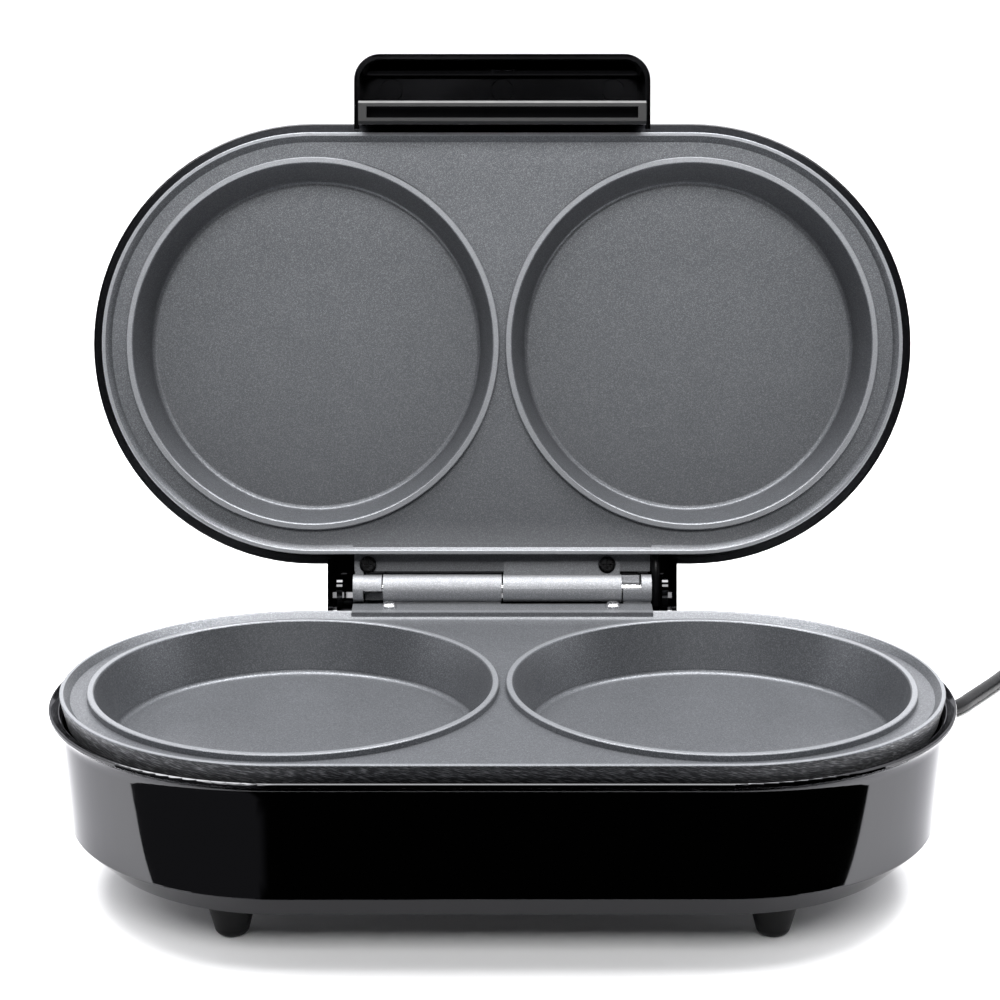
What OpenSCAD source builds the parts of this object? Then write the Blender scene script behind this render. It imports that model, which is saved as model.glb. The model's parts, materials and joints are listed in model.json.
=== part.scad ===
// Electric double omelette maker, standing open, with its lid leaning on its stop.
// Millimetres. X to the right, Y to the back, Z up from the table.
// Lid parts are drawn as they lie with the lid closed, and in_lid() opens them.

/* [Plates] */
// Radius of the plate's round ends, measured from a well's centre
plate_r = 84.2; // [83.4:0.1:84.6]
// Height of the lower plate's lip above the table
lip_h = 76; // [75:0.5:84]
// Gap between the two lips with the lid closed
lip_gap = 0.5; // [0.4:0.1:1.5]
// Width of the lip's flat top
lip_w = 1.7; // [1:0.1:2.4]
// How far the sunk margin lies below the lip
trough_depth = 2.5; // [1.5:0.1:3.5]
// Wall thickness of the castings
plate_t = 2.8; // [2.2:0.1:3.4]
// Height of the plate's outer wall
plate_skirt = 9; // [7:0.5:9]
// How far the outer wall draws in over its height
plate_draft = 2; // [0.5:0.1:2.4]

/* [Wells] */
// Width of the plate outside a well's mouth
margin_w = 12.3; // [12:0.1:16]
// Width left between the mouths of the two wells
well_land = 7.6; // [6.8:0.1:14]
// How far a well's wall slopes inwards
well_run = 5.3; // [4.5:0.1:8]
// Depth of a well below the lip
well_depth = 20.4; // [18:0.1:22.5]
// Width of the raised bead round a well
bead_w = 2.6; // [1.6:0.1:3]
// Rounding between a well's wall and floor
well_fillet = 2; // [0.5:0.5:3]

/* [Base housing] */
// How far the flared rim stands out from the plate
rim_out = 4.1; // [3.9:0.1:5.5]
// How far the rim lies below the lip
rim_drop = 5.1; // [4.5:0.1:6]
// Thickness of the rim's edge
rim_edge = 1.4; // [1:0.1:2]
// How far the rim stands out from the upright wall
flare_out = 3.9; // [3.5:0.1:4.1]
// How far the wall draws in from the flare down to the crease
wall_draft = 2.2; // [1.6:0.1:2.6]
// Radius of the curve that flares the wall out to the rim
flare_r = 7; // [6:0.5:8]
// Thickness of the plastic shells
shell_t = 2.3; // [1.8:0.1:2.6]
// Height of the crease above the sloping lower band
crease_h = 27; // [25:0.5:30]
// How far the lower band slopes inwards
band_w = 10.6; // [9:0.1:11]
// Height of the base's underside above the table
bottom_h = 16.5; // [14:0.5:18]

/* [Feet] */
// Radius of a foot at the housing
foot_top_r = 9.4; // [8.6:0.1:10]
// Radius of a foot at the table
foot_tip_r = 6.2; // [5.4:0.1:6.8]
// Distance of the feet outside the wells' centres
foot_out = 19.3; // [10:0.1:22]
// How far the front feet stand inside the underside's straight edge
foot_front_in = 21.6; // [18:0.1:28]
// How far the rear feet stand inside the underside's straight edge
foot_rear_in = 14.6; // [13.6:0.1:20]
// Radius of the peg that plugs a foot into the base
foot_peg_r = 3; // [2:0.1:4]

/* [Hinge] */
// Distance of the hinge axis behind the plate
hinge_out = 13.8; // [13.4:0.1:17]
// Height of the hinge axis above the lower lip
hinge_rise = 4.9; // [4.7:0.1:5.6]
// How far the lid opens
open_angle = 104.4; // [95:0.1:106]
// Outer radius of the barrel
barrel_r = 5.6; // [4.8:0.1:5.8]
// Radius of the hinge pin
pin_r = 2; // [1.5:0.1:2.5]
// Radial clearance of the pin in the lid's knuckles
pin_play = 0.05; // [0.03:0.01:0.1]
// Distance of the barrel's ends from the middle
barrel_half = 59.7; // [56:0.1:60.2]
// Length of the short knuckles
short_knuckle = 11.7; // [10.5:0.1:13.5]
// Gap between neighbouring knuckles
knuckle_gap = 0.6; // [0.4:0.1:1]
// Length of the full ring at the outer end of a short knuckle
end_ring = 4; // [3:0.1:5]
// Thickness of the hinge flanges
flange_t = 3; // [2:0.1:3]
// Reach of the lower flange behind the plate
lower_flange_reach = 8.8; // [7:0.1:9]
// Reach of the upper flange behind the plate
upper_flange_reach = 7.2; // [7:0.1:7.6]
// Inner radius of the lid's cover behind the barrel
cover_r = 12.5; // [12:0.1:13]
// Angle at which the cover ends behind the barrel, above level, lid closed
cover_end = 50; // [48:1:56]
// Gap between the barrel's ends and the base's hinge cheeks
cheek_gap = 4.2; // [3.9:0.1:4.6]
// Radius of the cheeks' round tops
cheek_r = 5; // [4:0.1:6]
// Running gap between the base's cheeks and the lid's ears
ear_gap = 1.9; // [1:0.1:2.5]

/* [Lid housing] */
// Height from the upper heat shield to the outside of the lid's top
lid_room = 12.4; // [11.4:0.1:16]
// Rounding of the lid's edge
lid_corner = 15.5; // [10:0.5:16]

/* [Handle] */
// Width of the handle
handle_w = 118.8; // [100:0.2:126]
// How far the handle stands out from the rim
handle_reach = 27.9; // [25:0.1:34]
// Height of the handle above the lid's rim
handle_h = 21; // [20:0.5:24]
// Wall thickness of the handle
handle_wall = 2.1; // [1.8:0.1:2.4]
// Corner radius of the handle, seen from above
handle_corner = 10.5; // [6:0.5:12]

/* [Latch] */
// Gap between the latch and the handle's side walls
latch_gap = 0.6; // [0.4:0.1:1]
// Thickness of the latch bar, front to back
latch_t = 6; // [5:0.1:7]
// How far the hook reaches in under the base's rim
hook_reach = 2.5; // [1.5:0.1:2.8]
// Height of the hook's blunt end
hook_h = 3.4; // [2.5:0.1:4.5]
// Radius of the latch pin
latch_pin_r = 1.5; // [1:0.1:1.6]
// Height of the latch pin above the lid's rim
latch_pin_rise = 12.5; // [11:0.5:13]

/* [Electrics] */
// How far the element's loop lies inside the edge of a well's floor
element_in = 18.6; // [17:0.1:22]
// Radius of the element's sheath
element_r = 3.25; // [3:0.05:3.5]
// Distance of the element's ends from the middle
element_end = 12; // [10:0.5:14]
// How far the heat shields' edges lie inside the plate's
shield_in = 14.2; // [13:0.1:18]
// Gap between an element and its heat shield
shield_gap = 3.3; // [3:0.1:3.6]
// Radius of an indicator lens
lens_r = 4.5; // [3.5:0.1:5]
// Distance of the lenses from the middle
lens_x = 9; // [8:0.5:12]
// How far the lenses lie inside the lid's front edge
lens_in = 34.2; // [32:0.1:38]

/* [Lead] */
// Radius of the mains lead
cord_r = 3.3; // [3:0.1:3.4]
// How far the lead's exit lies inside the right cheek
exit_in = 11.9; // [11.5:0.1:16]
// Height of the lead's exit
exit_h = 34; // [33:0.5:36]
// Length of the strain relief behind the base
boot_l = 28; // [20:1:30]
// Radius of the put-away coil, at its outermost turn
coil_r = 39.5; // [39:0.5:41]
// How much the coil draws in with each turn
coil_pitch = 8.6; // [8.3:0.1:9]
// Angle that the coil turns through
coil_turn = 850; // [820:10:850]

/* [Hidden] */
$fn = 96;
hidden_fn = 32;

fit = 0.02;
seat_gap = 0.3;
over = 1;

black_gloss = [0.06, 0.06, 0.065];
black_matt = [0.11, 0.11, 0.115];
coated = [0.36, 0.37, 0.39];
steel = [0.75, 0.76, 0.78];
tinned = [0.62, 0.63, 0.65];
brass = [0.78, 0.62, 0.32];

// Places that follow from the driving sizes
well_mouth_r = plate_r - margin_w;
well_floor_r = well_mouth_r - well_run;
well_x = well_mouth_r + well_land / 2;
rim_r = plate_r + rim_out;
wall_r = rim_r - flare_out;
hinge_back = plate_r + hinge_out;
cheek_in = barrel_half + cheek_gap;
barrel_split = barrel_half - short_knuckle;
exit_x = cheek_in - exit_in;
element_loop_r = well_floor_r - element_in;
shield_r = plate_r - shield_in;
lens_front = plate_r - lens_in;
lid_lip_h = lip_h + lip_gap;
under_floor = well_depth + plate_t;
element_depth = under_floor + element_r;
shield_depth = element_depth + element_r + shield_gap;
shield_t = 0.6;
lid_h = shield_depth + shield_t + lid_room;
plate_in = plate_r - plate_draft - plate_t;
hinge_z = lip_h + hinge_rise;
flare_h = sqrt(pow(flare_r, 2) - pow(flare_r - rim_r + wall_r, 2));
flare_start = rim_drop + rim_edge + flare_h;
base_rim_z = lip_h - rim_drop;
lid_rim_z = lid_lip_h + rim_drop;
lid_top_z = lid_lip_h + lid_h;
crease_r = wall_r - wall_draft;
bottom_r = crease_r - band_w;
floor_in = bottom_h + shell_t;
ear_in = cheek_in + shell_t + ear_gap;
ear_out = ear_in + handle_wall;
block_half = cheek_in + shell_t;
block_top = lip_h - flange_t;
block_low = 22;
cover_stop = open_angle - cover_end;
block_back = hinge_back + cover_r * cos(cover_stop) - seat_gap;

// The rearmost point of the open lid is on the rounded edge of its top
edge_y = -(wall_r - lid_corner) - hinge_back;
edge_z = lid_top_z - lid_corner - hinge_z;
open_back = hinge_back + edge_y * cos(open_angle) + edge_z * sin(open_angle) + lid_corner;
// The origin is on the table, under the middle of the whole open object
base_y = -(open_back - rim_r) / 2;

// Hinge screws, pictured as two dark ones above and two bright ones below
flange_screw_y = plate_r + 4.5;
upper_screw_x = [5.6 - barrel_half, barrel_half - 17.5];
lower_screw_x = [14.6 - barrel_half, barrel_half - 15.6];

// Inside the halves, measured away from the lip
element_bend = 8;
terminal_depth = element_depth + 10.6;
pin_depth = terminal_depth + 3.4;
shield_edge = 6;
column_depth = under_floor + 6.8;
column_x = well_x + 42;
column_y = well_floor_r - 24.6;
waist_y = plate_r - 22.2;
under_trough = trough_depth + plate_t;
foot_x = well_x + foot_out;
foot_front = bottom_r - foot_front_in;
foot_rear = bottom_r - foot_rear_in;
foot_places = [[-foot_x, -foot_front], [foot_x, -foot_front], [-foot_x, foot_rear], [foot_x, foot_rear]];
block_x = 38;
block_y = element_loop_r - 2;
fuse_y = block_y - 20;
terminal_z = 26;
clamp_y = hinge_back - 10;
clamp_screw_x = 7.8;
// The clamp's screws end two millimetres above the floor of their bosses
clamp_screw_l = exit_h + cord_r - block_low - shell_t - 1;
base_screw_l = 12;
hinge_screw_l = 11;
wire_r = 1.1;
tag_t = 0.8;
fuse_z = lip_h - shield_depth - shield_t - 2.6;
tag_z = lip_h - shield_depth - shield_t - tag_t / 2;
pin_end_z = lip_h - pin_depth;
thermostat_y = element_loop_r - 8;
thermostat_seat = 5;
thermo_z = lid_lip_h + under_trough;
lamp_seat = lid_top_z - shell_t - 7;
lid_block_x = 24;
lid_block_y = element_loop_r + 2;
lid_block_z = lid_lip_h + shield_depth + shield_t;
spring_half = 5;
leg_r = 0.4;
spring_r = latch_t / 2 + 2 * leg_r + 0.05;
lead_r = 1.8;
lead_x = (barrel_half + cheek_in) / 2;

// Knuckles along X, and the angles at which the stop lugs meet
long_in = knuckle_gap / 2;
long_out = barrel_split - knuckle_gap / 2;
short_in = barrel_split + knuckle_gap / 2;
ring_in = barrel_half - end_ring;
stop_play = 0.6;
web_in = 0.3;

// Handle and latch, lid closed
handle_front = -(rim_r + handle_reach);
handle_top = lid_rim_z + handle_h;
latch_in = -(rim_r + latch_gap);
latch_out = latch_in - latch_t;
hook_tip = -(rim_r - hook_reach);
latch_half = handle_w / 2 - handle_wall - latch_gap;
latch_axis_y = (latch_in + latch_out) / 2;
latch_axis_z = lid_rim_z + latch_pin_rise;
// Height of the base's flare at a distance y in front of the middle
function flare_z(y) = lip_h - flare_start
    + sqrt(pow(flare_r, 2) - pow(wall_r + flare_r - y, 2));
hook_top = flare_z(-hook_tip) - seat_gap - 0.1;
hook_end = hook_top - hook_h;
rim_under = base_rim_z - rim_edge - seat_gap;

// The lead: hand-chosen points on the table behind the base, from the exit to the coil
cord_d = 2 * cord_r;
boot_end = block_back + boot_l;
coil_x = 290;
coil_y = 235;
coil_start = 130;
half_turn = 180;
spiral_turn = (coil_turn - half_turn) / 2;
layer_z = [cord_r, cord_r * 3 + 0.5];
coil_in = [coil_x + coil_r * cos(coil_start), coil_y + coil_r * sin(coil_start), layer_z[0]];
coil_heading = [sin(coil_start), -cos(coil_start), 0];
route = [[exit_x, boot_end, exit_h], [exit_x, boot_end + 6, exit_h], [exit_x + 1, boot_end + 17, 32],
    [exit_x + 4, boot_end + 29, 27], [62, 172.5, 19.5], [71, 181.5, 11.5], [82.5, 187.5, 5.6],
    [96, 190.5, cord_r], [110.5, 190, cord_r], [124.5, 185, cord_r], [137.5, 177, cord_r],
    [150.5, 168.5, cord_r], [164, 162.5, cord_r], [177.5, 161, cord_r], [189.5, 164.5, cord_r],
    [199.5, 172.5, cord_r], [208, 184, cord_r], [216, 195.5, cord_r], [224, 207.2, cord_r],
    [231, 218.5, cord_r], [237.6, 230, cord_r], [244, 241, cord_r], [250, 250.5, cord_r],
    coil_in - coil_heading * (cord_d * 1.6), coil_in - coil_heading * cord_d];

// Vectors along a route, and a tube swept along it
function unit(v) = v / norm(v);
function tangents(p) = [for (i = [0 : len(p) - 1])
    unit(p[min(i + 1, len(p) - 1)] - p[max(i - 1, 0)])];
function next_side(n, t) = unit(n - (n * t) * t);
function sides_of(t, n0) = [for (i = 0, n = next_side(n0, t[0]); i < len(t);
    i = i + 1, n = i < len(t) ? next_side(n, t[i]) : n) n];
function route_length(p) = len(p) < 2 ? 0
    : [for (i = 1, s = norm(p[1] - p[0]); i < len(p);
        i = i + 1, s = i < len(p) ? s + norm(p[i] - p[i - 1]) : s) s][len(p) - 2];

module tube(p, r, count, n0 = [0, 0, 1]) {
    t = tangents(p);
    side = sides_of(t, n0);
    rings = [for (i = [0 : len(p) - 1]) for (k = [0 : count - 1])
        p[i] + r * (cos(360 * k / count) * side[i] + sin(360 * k / count) * cross(t[i], side[i]))];
    last = (len(p) - 1) * count;
    walls = [for (i = [0 : len(p) - 2]) for (k = [0 : count - 1])
        let (a = i * count + k, b = i * count + (k + 1) % count)
        each [[a, b + count, b], [a, a + count, b + count]]];
    caps = [[for (k = [0 : count - 1]) k], [for (k = [count - 1 : -1 : 0]) last + k]];
    polyhedron(rings, concat(walls, caps));
}

// Shared placing
module at_base() {
    translate([0, base_y, 0]) children();
}

module in_lid() {
    at_base()
        translate([0, hinge_back, hinge_z])
            rotate([-open_angle, 0, 0])
                translate([0, -hinge_back, -hinge_z])
                    children();
}

// Turns what is drawn downwards from the lower lip into the same thing on the lid
module on_lid_lip() {
    translate([0, 0, lid_lip_h]) mirror([0, 0, 1]) children();
}

module on_base_lip() {
    translate([0, 0, lip_h]) children();
}

// Sweeps a half section, radius by height, round the long outline with two round ends
module sweep() {
    for (side = [-1, 1])
        translate([side * well_x, 0, 0])
            rotate([0, 0, -90 * side])
                rotate_extrude(angle = 180)
                    children();
    translate([-well_x, 0, 0])
        rotate([90, 0, 90])
            linear_extrude(2 * well_x) {
                children();
                mirror([1, 0]) children();
            }
}

// Extrudes a side view, Y by Z, between two distances along X
module across(x0, x1) {
    translate([x0, 0, 0]) rotate([90, 0, 90]) linear_extrude(x1 - x0) children();
}

module along_x(x0, x1, y, z, r, fn = $fn) {
    translate([x0, y, z]) rotate([0, 90, 0]) cylinder(h = x1 - x0, r = r, $fn = fn);
}

module ring_arc(x0, x1, a0, a1) {
    translate([x0, hinge_back, hinge_z])
        rotate([90, 0, 90])
            rotate([0, 0, a0])
                rotate_extrude(angle = a1 - a0)
                    translate([pin_r + 0.3, 0])
                        square([barrel_r - pin_r - 0.45, x1 - x0]);
}

module both_sides() {
    children();
    mirror([1, 0, 0]) children();
}

module at_columns() {
    for (sx = [-1, 1], sy = [-1, 1])
        translate([sx * column_x, sy * column_y, 0]) children();
}

module at_shield_screws() {
    for (p = [[-well_x, 0], [well_x, 0], [0, -waist_y], [0, waist_y]])
        translate([p[0], p[1], 0]) children();
}

// A screw with its head's seat at z = 0, its head above and its shank below
module pan_screw(head_r, head_h, shank_r, shank_l) {
    difference() {
        union() {
            translate([0, 0, -shank_l]) cylinder(h = shank_l, r = shank_r, $fn = hidden_fn);
            cylinder(h = head_h * 0.55, r = head_r);
            translate([0, 0, head_h * 0.55])
                cylinder(h = head_h * 0.45, r1 = head_r, r2 = head_r * 0.72);
        }
        for (turn = [0, 90])
            rotate([0, 0, turn])
                translate([-head_r * 0.55, -head_r * 0.1, head_h * 0.4])
                    cube([head_r * 1.1, head_r * 0.2, head_h]);
    }
}

// Plates, drawn from the lip downwards
module plate_section() {
    polygon([[0, -trough_depth], [plate_r - lip_w - 2, -trough_depth], [plate_r - lip_w, -0.3],
        [plate_r - lip_w + 0.3, 0], [plate_r - 0.3, 0], [plate_r, -0.3],
        [plate_r - plate_draft, -plate_skirt], [plate_in, -plate_skirt],
        [plate_in, -under_trough], [0, -under_trough]]);
}

module well_outside() {
    bead_r = well_mouth_r + bead_w;
    rotate_extrude()
        polygon([[0, -under_floor], [well_floor_r + plate_t - 3, -under_floor],
            [well_floor_r + plate_t, -under_floor + 3],
            [max(bead_r, well_mouth_r + plate_t), -under_trough],
            [bead_r, -trough_depth], [bead_r, -0.5], [bead_r - 0.4, -0.1], [0, -0.1]]);
}

module well_inside() {
    slope = (well_mouth_r - well_floor_r) / well_depth;
    corner = [for (a = [0 : 15 : 75]) [well_floor_r + slope * well_fillet - well_fillet * (1 - sin(a)),
        -well_depth + well_fillet * (1 - cos(a))]];
    rotate_extrude()
        polygon(concat([[0, -well_depth]], corner, [[well_floor_r + slope * well_fillet,
            -well_depth + well_fillet], [well_mouth_r, -0.6], [well_mouth_r + 0.5, -0.1],
            [well_mouth_r + 0.5, over], [0, over]]));
}

module plate_casting() {
    difference() {
        union() {
            sweep() plate_section();
            for (side = [-1, 1]) translate([side * well_x, 0, 0]) well_outside();
            for (sy = [-1, 1])
                translate([0, sy * waist_y, -shield_depth])
                    cylinder(h = shield_depth - trough_depth - over, r = 4.5, $fn = hidden_fn);
            for (side = [-1, 1])
                translate([side * well_x, 0, -shield_depth])
                    cylinder(h = shield_depth - well_depth - over, r = 4, $fn = hidden_fn);
            at_columns()
                translate([0, 0, -column_depth])
                    cylinder(h = column_depth - well_depth - over, r = 4, $fn = hidden_fn);
        }
        for (side = [-1, 1]) translate([side * well_x, 0, 0]) well_inside();
        at_shield_screws()
            translate([0, 0, -shield_depth - over])
                cylinder(h = 7 + over, r = 1.5 + fit, $fn = hidden_fn);
        at_columns()
            translate([0, 0, -column_depth - over])
                cylinder(h = 7 + over, r = 1.5 + fit, $fn = hidden_fn);
    }
}

// Where neighbouring webs would foul the turning knuckles, a flange ends short of the barrel
module lower_web() {
    across_y = plate_r + lower_flange_reach;
    polygon([[plate_r - 2, block_top], [hinge_back, hinge_z - barrel_r - 1], [hinge_back, hinge_z],
        [hinge_back - barrel_r * 0.5, hinge_z - barrel_r * 0.86], [across_y - 3, lip_h],
        [plate_r - 2, lip_h]]);
}

module upper_web() {
    top = hinge_z + barrel_r;
    polygon([[plate_r - 2, top], [hinge_back - barrel_r * 0.5, hinge_z + barrel_r * 0.86],
        [hinge_back, hinge_z], [hinge_back, top + 1], [plate_r + upper_flange_reach - 2, top + flange_t],
        [plate_r - 2, top + flange_t]]);
}

module pin_bore(r) {
    along_x(-barrel_half - over, barrel_half + over, hinge_back, hinge_z, r);
}

module lower_plate() {
    color(coated) at_base() difference() {
        union() {
            on_base_lip() plate_casting();
            translate([-barrel_half, plate_r - 3, block_top])
                cube([2 * barrel_half, lower_flange_reach + 3, flange_t]);
            across(-long_out + web_in, -long_in - web_in) lower_web();
            across(short_in + web_in, barrel_half - web_in) lower_web();
            along_x(-long_out, -long_in, hinge_back, hinge_z, barrel_r);
            along_x(ring_in, barrel_half, hinge_back, hinge_z, barrel_r);
            ring_arc(short_in, ring_in + over, 167, 310 - stop_play);
            // Stop lug that the lid's short knuckle turns against
            ring_arc(-ring_in + knuckle_gap, -long_out + over, 282, 395 - stop_play);
        }
        pin_bore(pin_r + fit / 2);
        for (x = lower_screw_x)
            translate([x, flange_screw_y, block_top - over])
                cylinder(h = flange_t + 2 * over, r = 1.6, $fn = hidden_fn);
        for (x = lower_screw_x)
            translate([x, flange_screw_y, lip_h]) cylinder(h = 4, r = 3.2);
    }
}

module upper_plate() {
    top = hinge_z + barrel_r;
    color(coated) in_lid() difference() {
        union() {
            on_lid_lip() plate_casting();
            translate([-barrel_half, plate_in + 0.4, lid_lip_h + 1.5])
                cube([2 * barrel_half, plate_r - plate_in - 1, top + flange_t - lid_lip_h - 1.5]);
            translate([-barrel_half, plate_in, top])
                cube([2 * barrel_half, plate_r + upper_flange_reach - plate_in, flange_t]);
            across(long_in + web_in, long_out - web_in) upper_web();
            across(-barrel_half + web_in, -ring_in - web_in) upper_web();
            along_x(long_in, long_out, hinge_back, hinge_z, barrel_r);
            along_x(-barrel_half, -ring_in, hinge_back, hinge_z, barrel_r);
            ring_arc(-ring_in - over, -short_in, 35 + open_angle, 172 + open_angle);
            ring_arc(long_out - over, ring_in - knuckle_gap, open_angle - 50, open_angle + 60);
            for (dy = [-11, 11])
                translate([0, dy - thermostat_y, lid_lip_h + under_trough - over])
                    cylinder(h = thermostat_seat + over, r = 2.8, $fn = hidden_fn);
        }
        pin_bore(pin_r + pin_play);
        for (x = upper_screw_x)
            translate([x, flange_screw_y, top - over])
                cylinder(h = flange_t + 2 * over, r = 1.6, $fn = hidden_fn);
        for (x = upper_screw_x)
            translate([x, flange_screw_y, top - 4]) cylinder(h = 4, r = 3.6);
        for (dy = [-11, 11])
            translate([0, dy - thermostat_y, lid_lip_h + under_trough])
                cylinder(h = thermostat_seat + over, r = 1.1, $fn = hidden_fn);
    }
}

// Heating element: a long loop, open at the back, with both ends turned inwards
module element() {
    z = -element_depth;
    for (side = [-1, 1])
        translate([side * well_x, 0, z])
            rotate([0, 0, -90 * side])
                rotate_extrude(angle = 180)
                    translate([element_loop_r, 0]) circle(r = element_r, $fn = hidden_fn);
    along_x(-well_x, well_x, -element_loop_r, z, element_r, hidden_fn);
    both_sides() {
        start = element_end + element_bend;
        along_x(start, well_x, element_loop_r, z, element_r, hidden_fn);
        translate([start, element_loop_r, z - element_bend])
            rotate([90, 0, 0]) rotate([0, 0, 90])
                rotate_extrude(angle = 90)
                    translate([element_bend, 0]) circle(r = element_r, $fn = hidden_fn);
        translate([element_end, element_loop_r, -terminal_depth])
            cylinder(h = terminal_depth - element_depth - element_bend, r = element_r, $fn = hidden_fn);
    }
}

module element_pins() {
    both_sides()
        translate([element_end, element_loop_r, -pin_depth])
            cylinder(h = pin_depth - terminal_depth, r = 1.2, $fn = hidden_fn);
}

module heat_shield() {
    difference() {
        sweep() polygon([[0, -shield_depth], [shield_r - shield_t, -shield_depth],
            [shield_r - shield_t, -shield_depth + shield_edge], [shield_r, -shield_depth + shield_edge],
            [shield_r, -shield_depth - shield_t], [0, -shield_depth - shield_t]]);
        at_columns()
            translate([0, 0, -shield_depth - over]) cylinder(h = 2 * over, r = 6, $fn = hidden_fn);
        at_shield_screws()
            translate([0, 0, -shield_depth - over]) cylinder(h = 2 * over, r = 1.7, $fn = hidden_fn);
        both_sides()
            translate([element_end, element_loop_r, -shield_depth - over])
                cylinder(h = 2 * over, r = element_r + 1, $fn = hidden_fn);
        translate([0, 16 - thermostat_y, -shield_depth - over])
            cylinder(h = 2 * over, r = 5, $fn = hidden_fn);
    }
}

module shield_screws(tag) {
    at_shield_screws()
        translate([0, 0, -shield_depth - shield_t])
            mirror([0, 0, 1]) pan_screw(3, 2, 1.5, 6);
}

module lower_element() {
    color(tinned) at_base() on_base_lip() element();
}

module upper_element() {
    color(tinned) in_lid() on_lid_lip() element();
}

module lower_element_pins() {
    color(steel) at_base() on_base_lip() element_pins();
}

module upper_element_pins() {
    color(steel) in_lid() on_lid_lip() element_pins();
}

module lower_heat_shield() {
    color(steel) at_base() on_base_lip() heat_shield();
}

module upper_heat_shield() {
    color(steel) in_lid() on_lid_lip() heat_shield();
}

module lower_shield_screws() {
    color(steel) at_base() on_base_lip()
        for (p = [[-well_x, 0, 0], [well_x, 0, 0], [0, -waist_y, 0], [0, waist_y, tag_t]])
            translate([p[0], p[1], -shield_depth - shield_t - p[2]])
                mirror([0, 0, 1]) pan_screw(3, 2, 1.5, 6);
}

module upper_shield_screws() {
    color(steel) in_lid() on_lid_lip()
        at_shield_screws()
            translate([0, 0, -shield_depth - shield_t])
                mirror([0, 0, 1]) pan_screw(3, 2, 1.5, 6);
}

// Points that round the corner b of an outline that runs a, b, c
function rounded(a, b, c, r, n = 4) =
    let (u = unit(a - b), v = unit(c - b), half = acos(u * v) / 2,
        mid = b + unit(u + v) * r / sin(half), p = b + u * r / tan(half), q = b + v * r / tan(half))
    [for (i = [0 : n]) mid + r * unit((p - mid) * (n - i) + (q - mid) * i)];

// Housing shells, drawn from the lip downwards
module flare(r, top) {
    difference() {
        translate([0, -flare_start]) square([rim_r, flare_start - top]);
        translate([wall_r + flare_r, -flare_start]) circle(r = r, $fn = 2 * $fn);
    }
}

// The flared rim, with a rounded edge, and a top that dips towards the plate
module rim_section() {
    round = 0.6;
    difference() {
        union() {
            flare(flare_r, rim_drop + round);
            intersection() {
                flare(flare_r, rim_drop);
                translate([0, -rim_drop - round]) square([rim_r - round, round]);
            }
            translate([rim_r - round, -rim_drop - round]) circle(r = round, $fn = hidden_fn);
        }
        polygon([[rim_r - 0.8, -rim_drop], [rim_r - 0.8, over], [0, over],
            [0, -rim_drop - rim_edge], [rim_r - 3.4, -rim_drop - rim_edge]]);
    }
}

module base_section() {
    low = -(lip_h - bottom_h);
    crease = [crease_r, -(lip_h - crease_h)];
    bottom = [bottom_r, low];
    rim_section();
    polygon(concat([[0, low]], rounded([0, low], bottom, crease, 1.5),
        rounded(bottom, crease, [wall_r, -flare_start], 1.2),
        [[wall_r, -flare_start], [wall_r - 4, -rim_drop - rim_edge], [0, -rim_drop - rim_edge]]));
}

module base_cavity() {
    low = -(lip_h - floor_in);
    crease = -(lip_h - crease_h);
    flare(flare_r + shell_t, -over);
    polygon([[0, low], [bottom_r - 1, low], [crease_r - shell_t, crease + 0.9],
        [wall_r - shell_t, -flare_start], [0, -flare_start]]);
}

module block_outline(inset, low_round, top_round) {
    back = block_back - inset;
    low = block_low + inset;
    top = block_top - inset;
    front = block_y - 6;
    polygon(concat([[front, low]], rounded([front, low], [back, low], [back, top], low_round),
        rounded([back, low], [back, top], [front, top], top_round), [[front, top]]));
}

module base_block() {
    across(-block_half, block_half) block_outline(0, 5, 4);
    both_sides() across(cheek_in, block_half) {
        translate([hinge_back, hinge_z]) circle(r = cheek_r);
        translate([hinge_back - cheek_r, block_top - over])
            square([2 * cheek_r, hinge_z - block_top + over]);
    }
}

module base_block_room() {
    across(-cheek_in, cheek_in) block_outline(shell_t, 2.7, 1.7);
}

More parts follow.
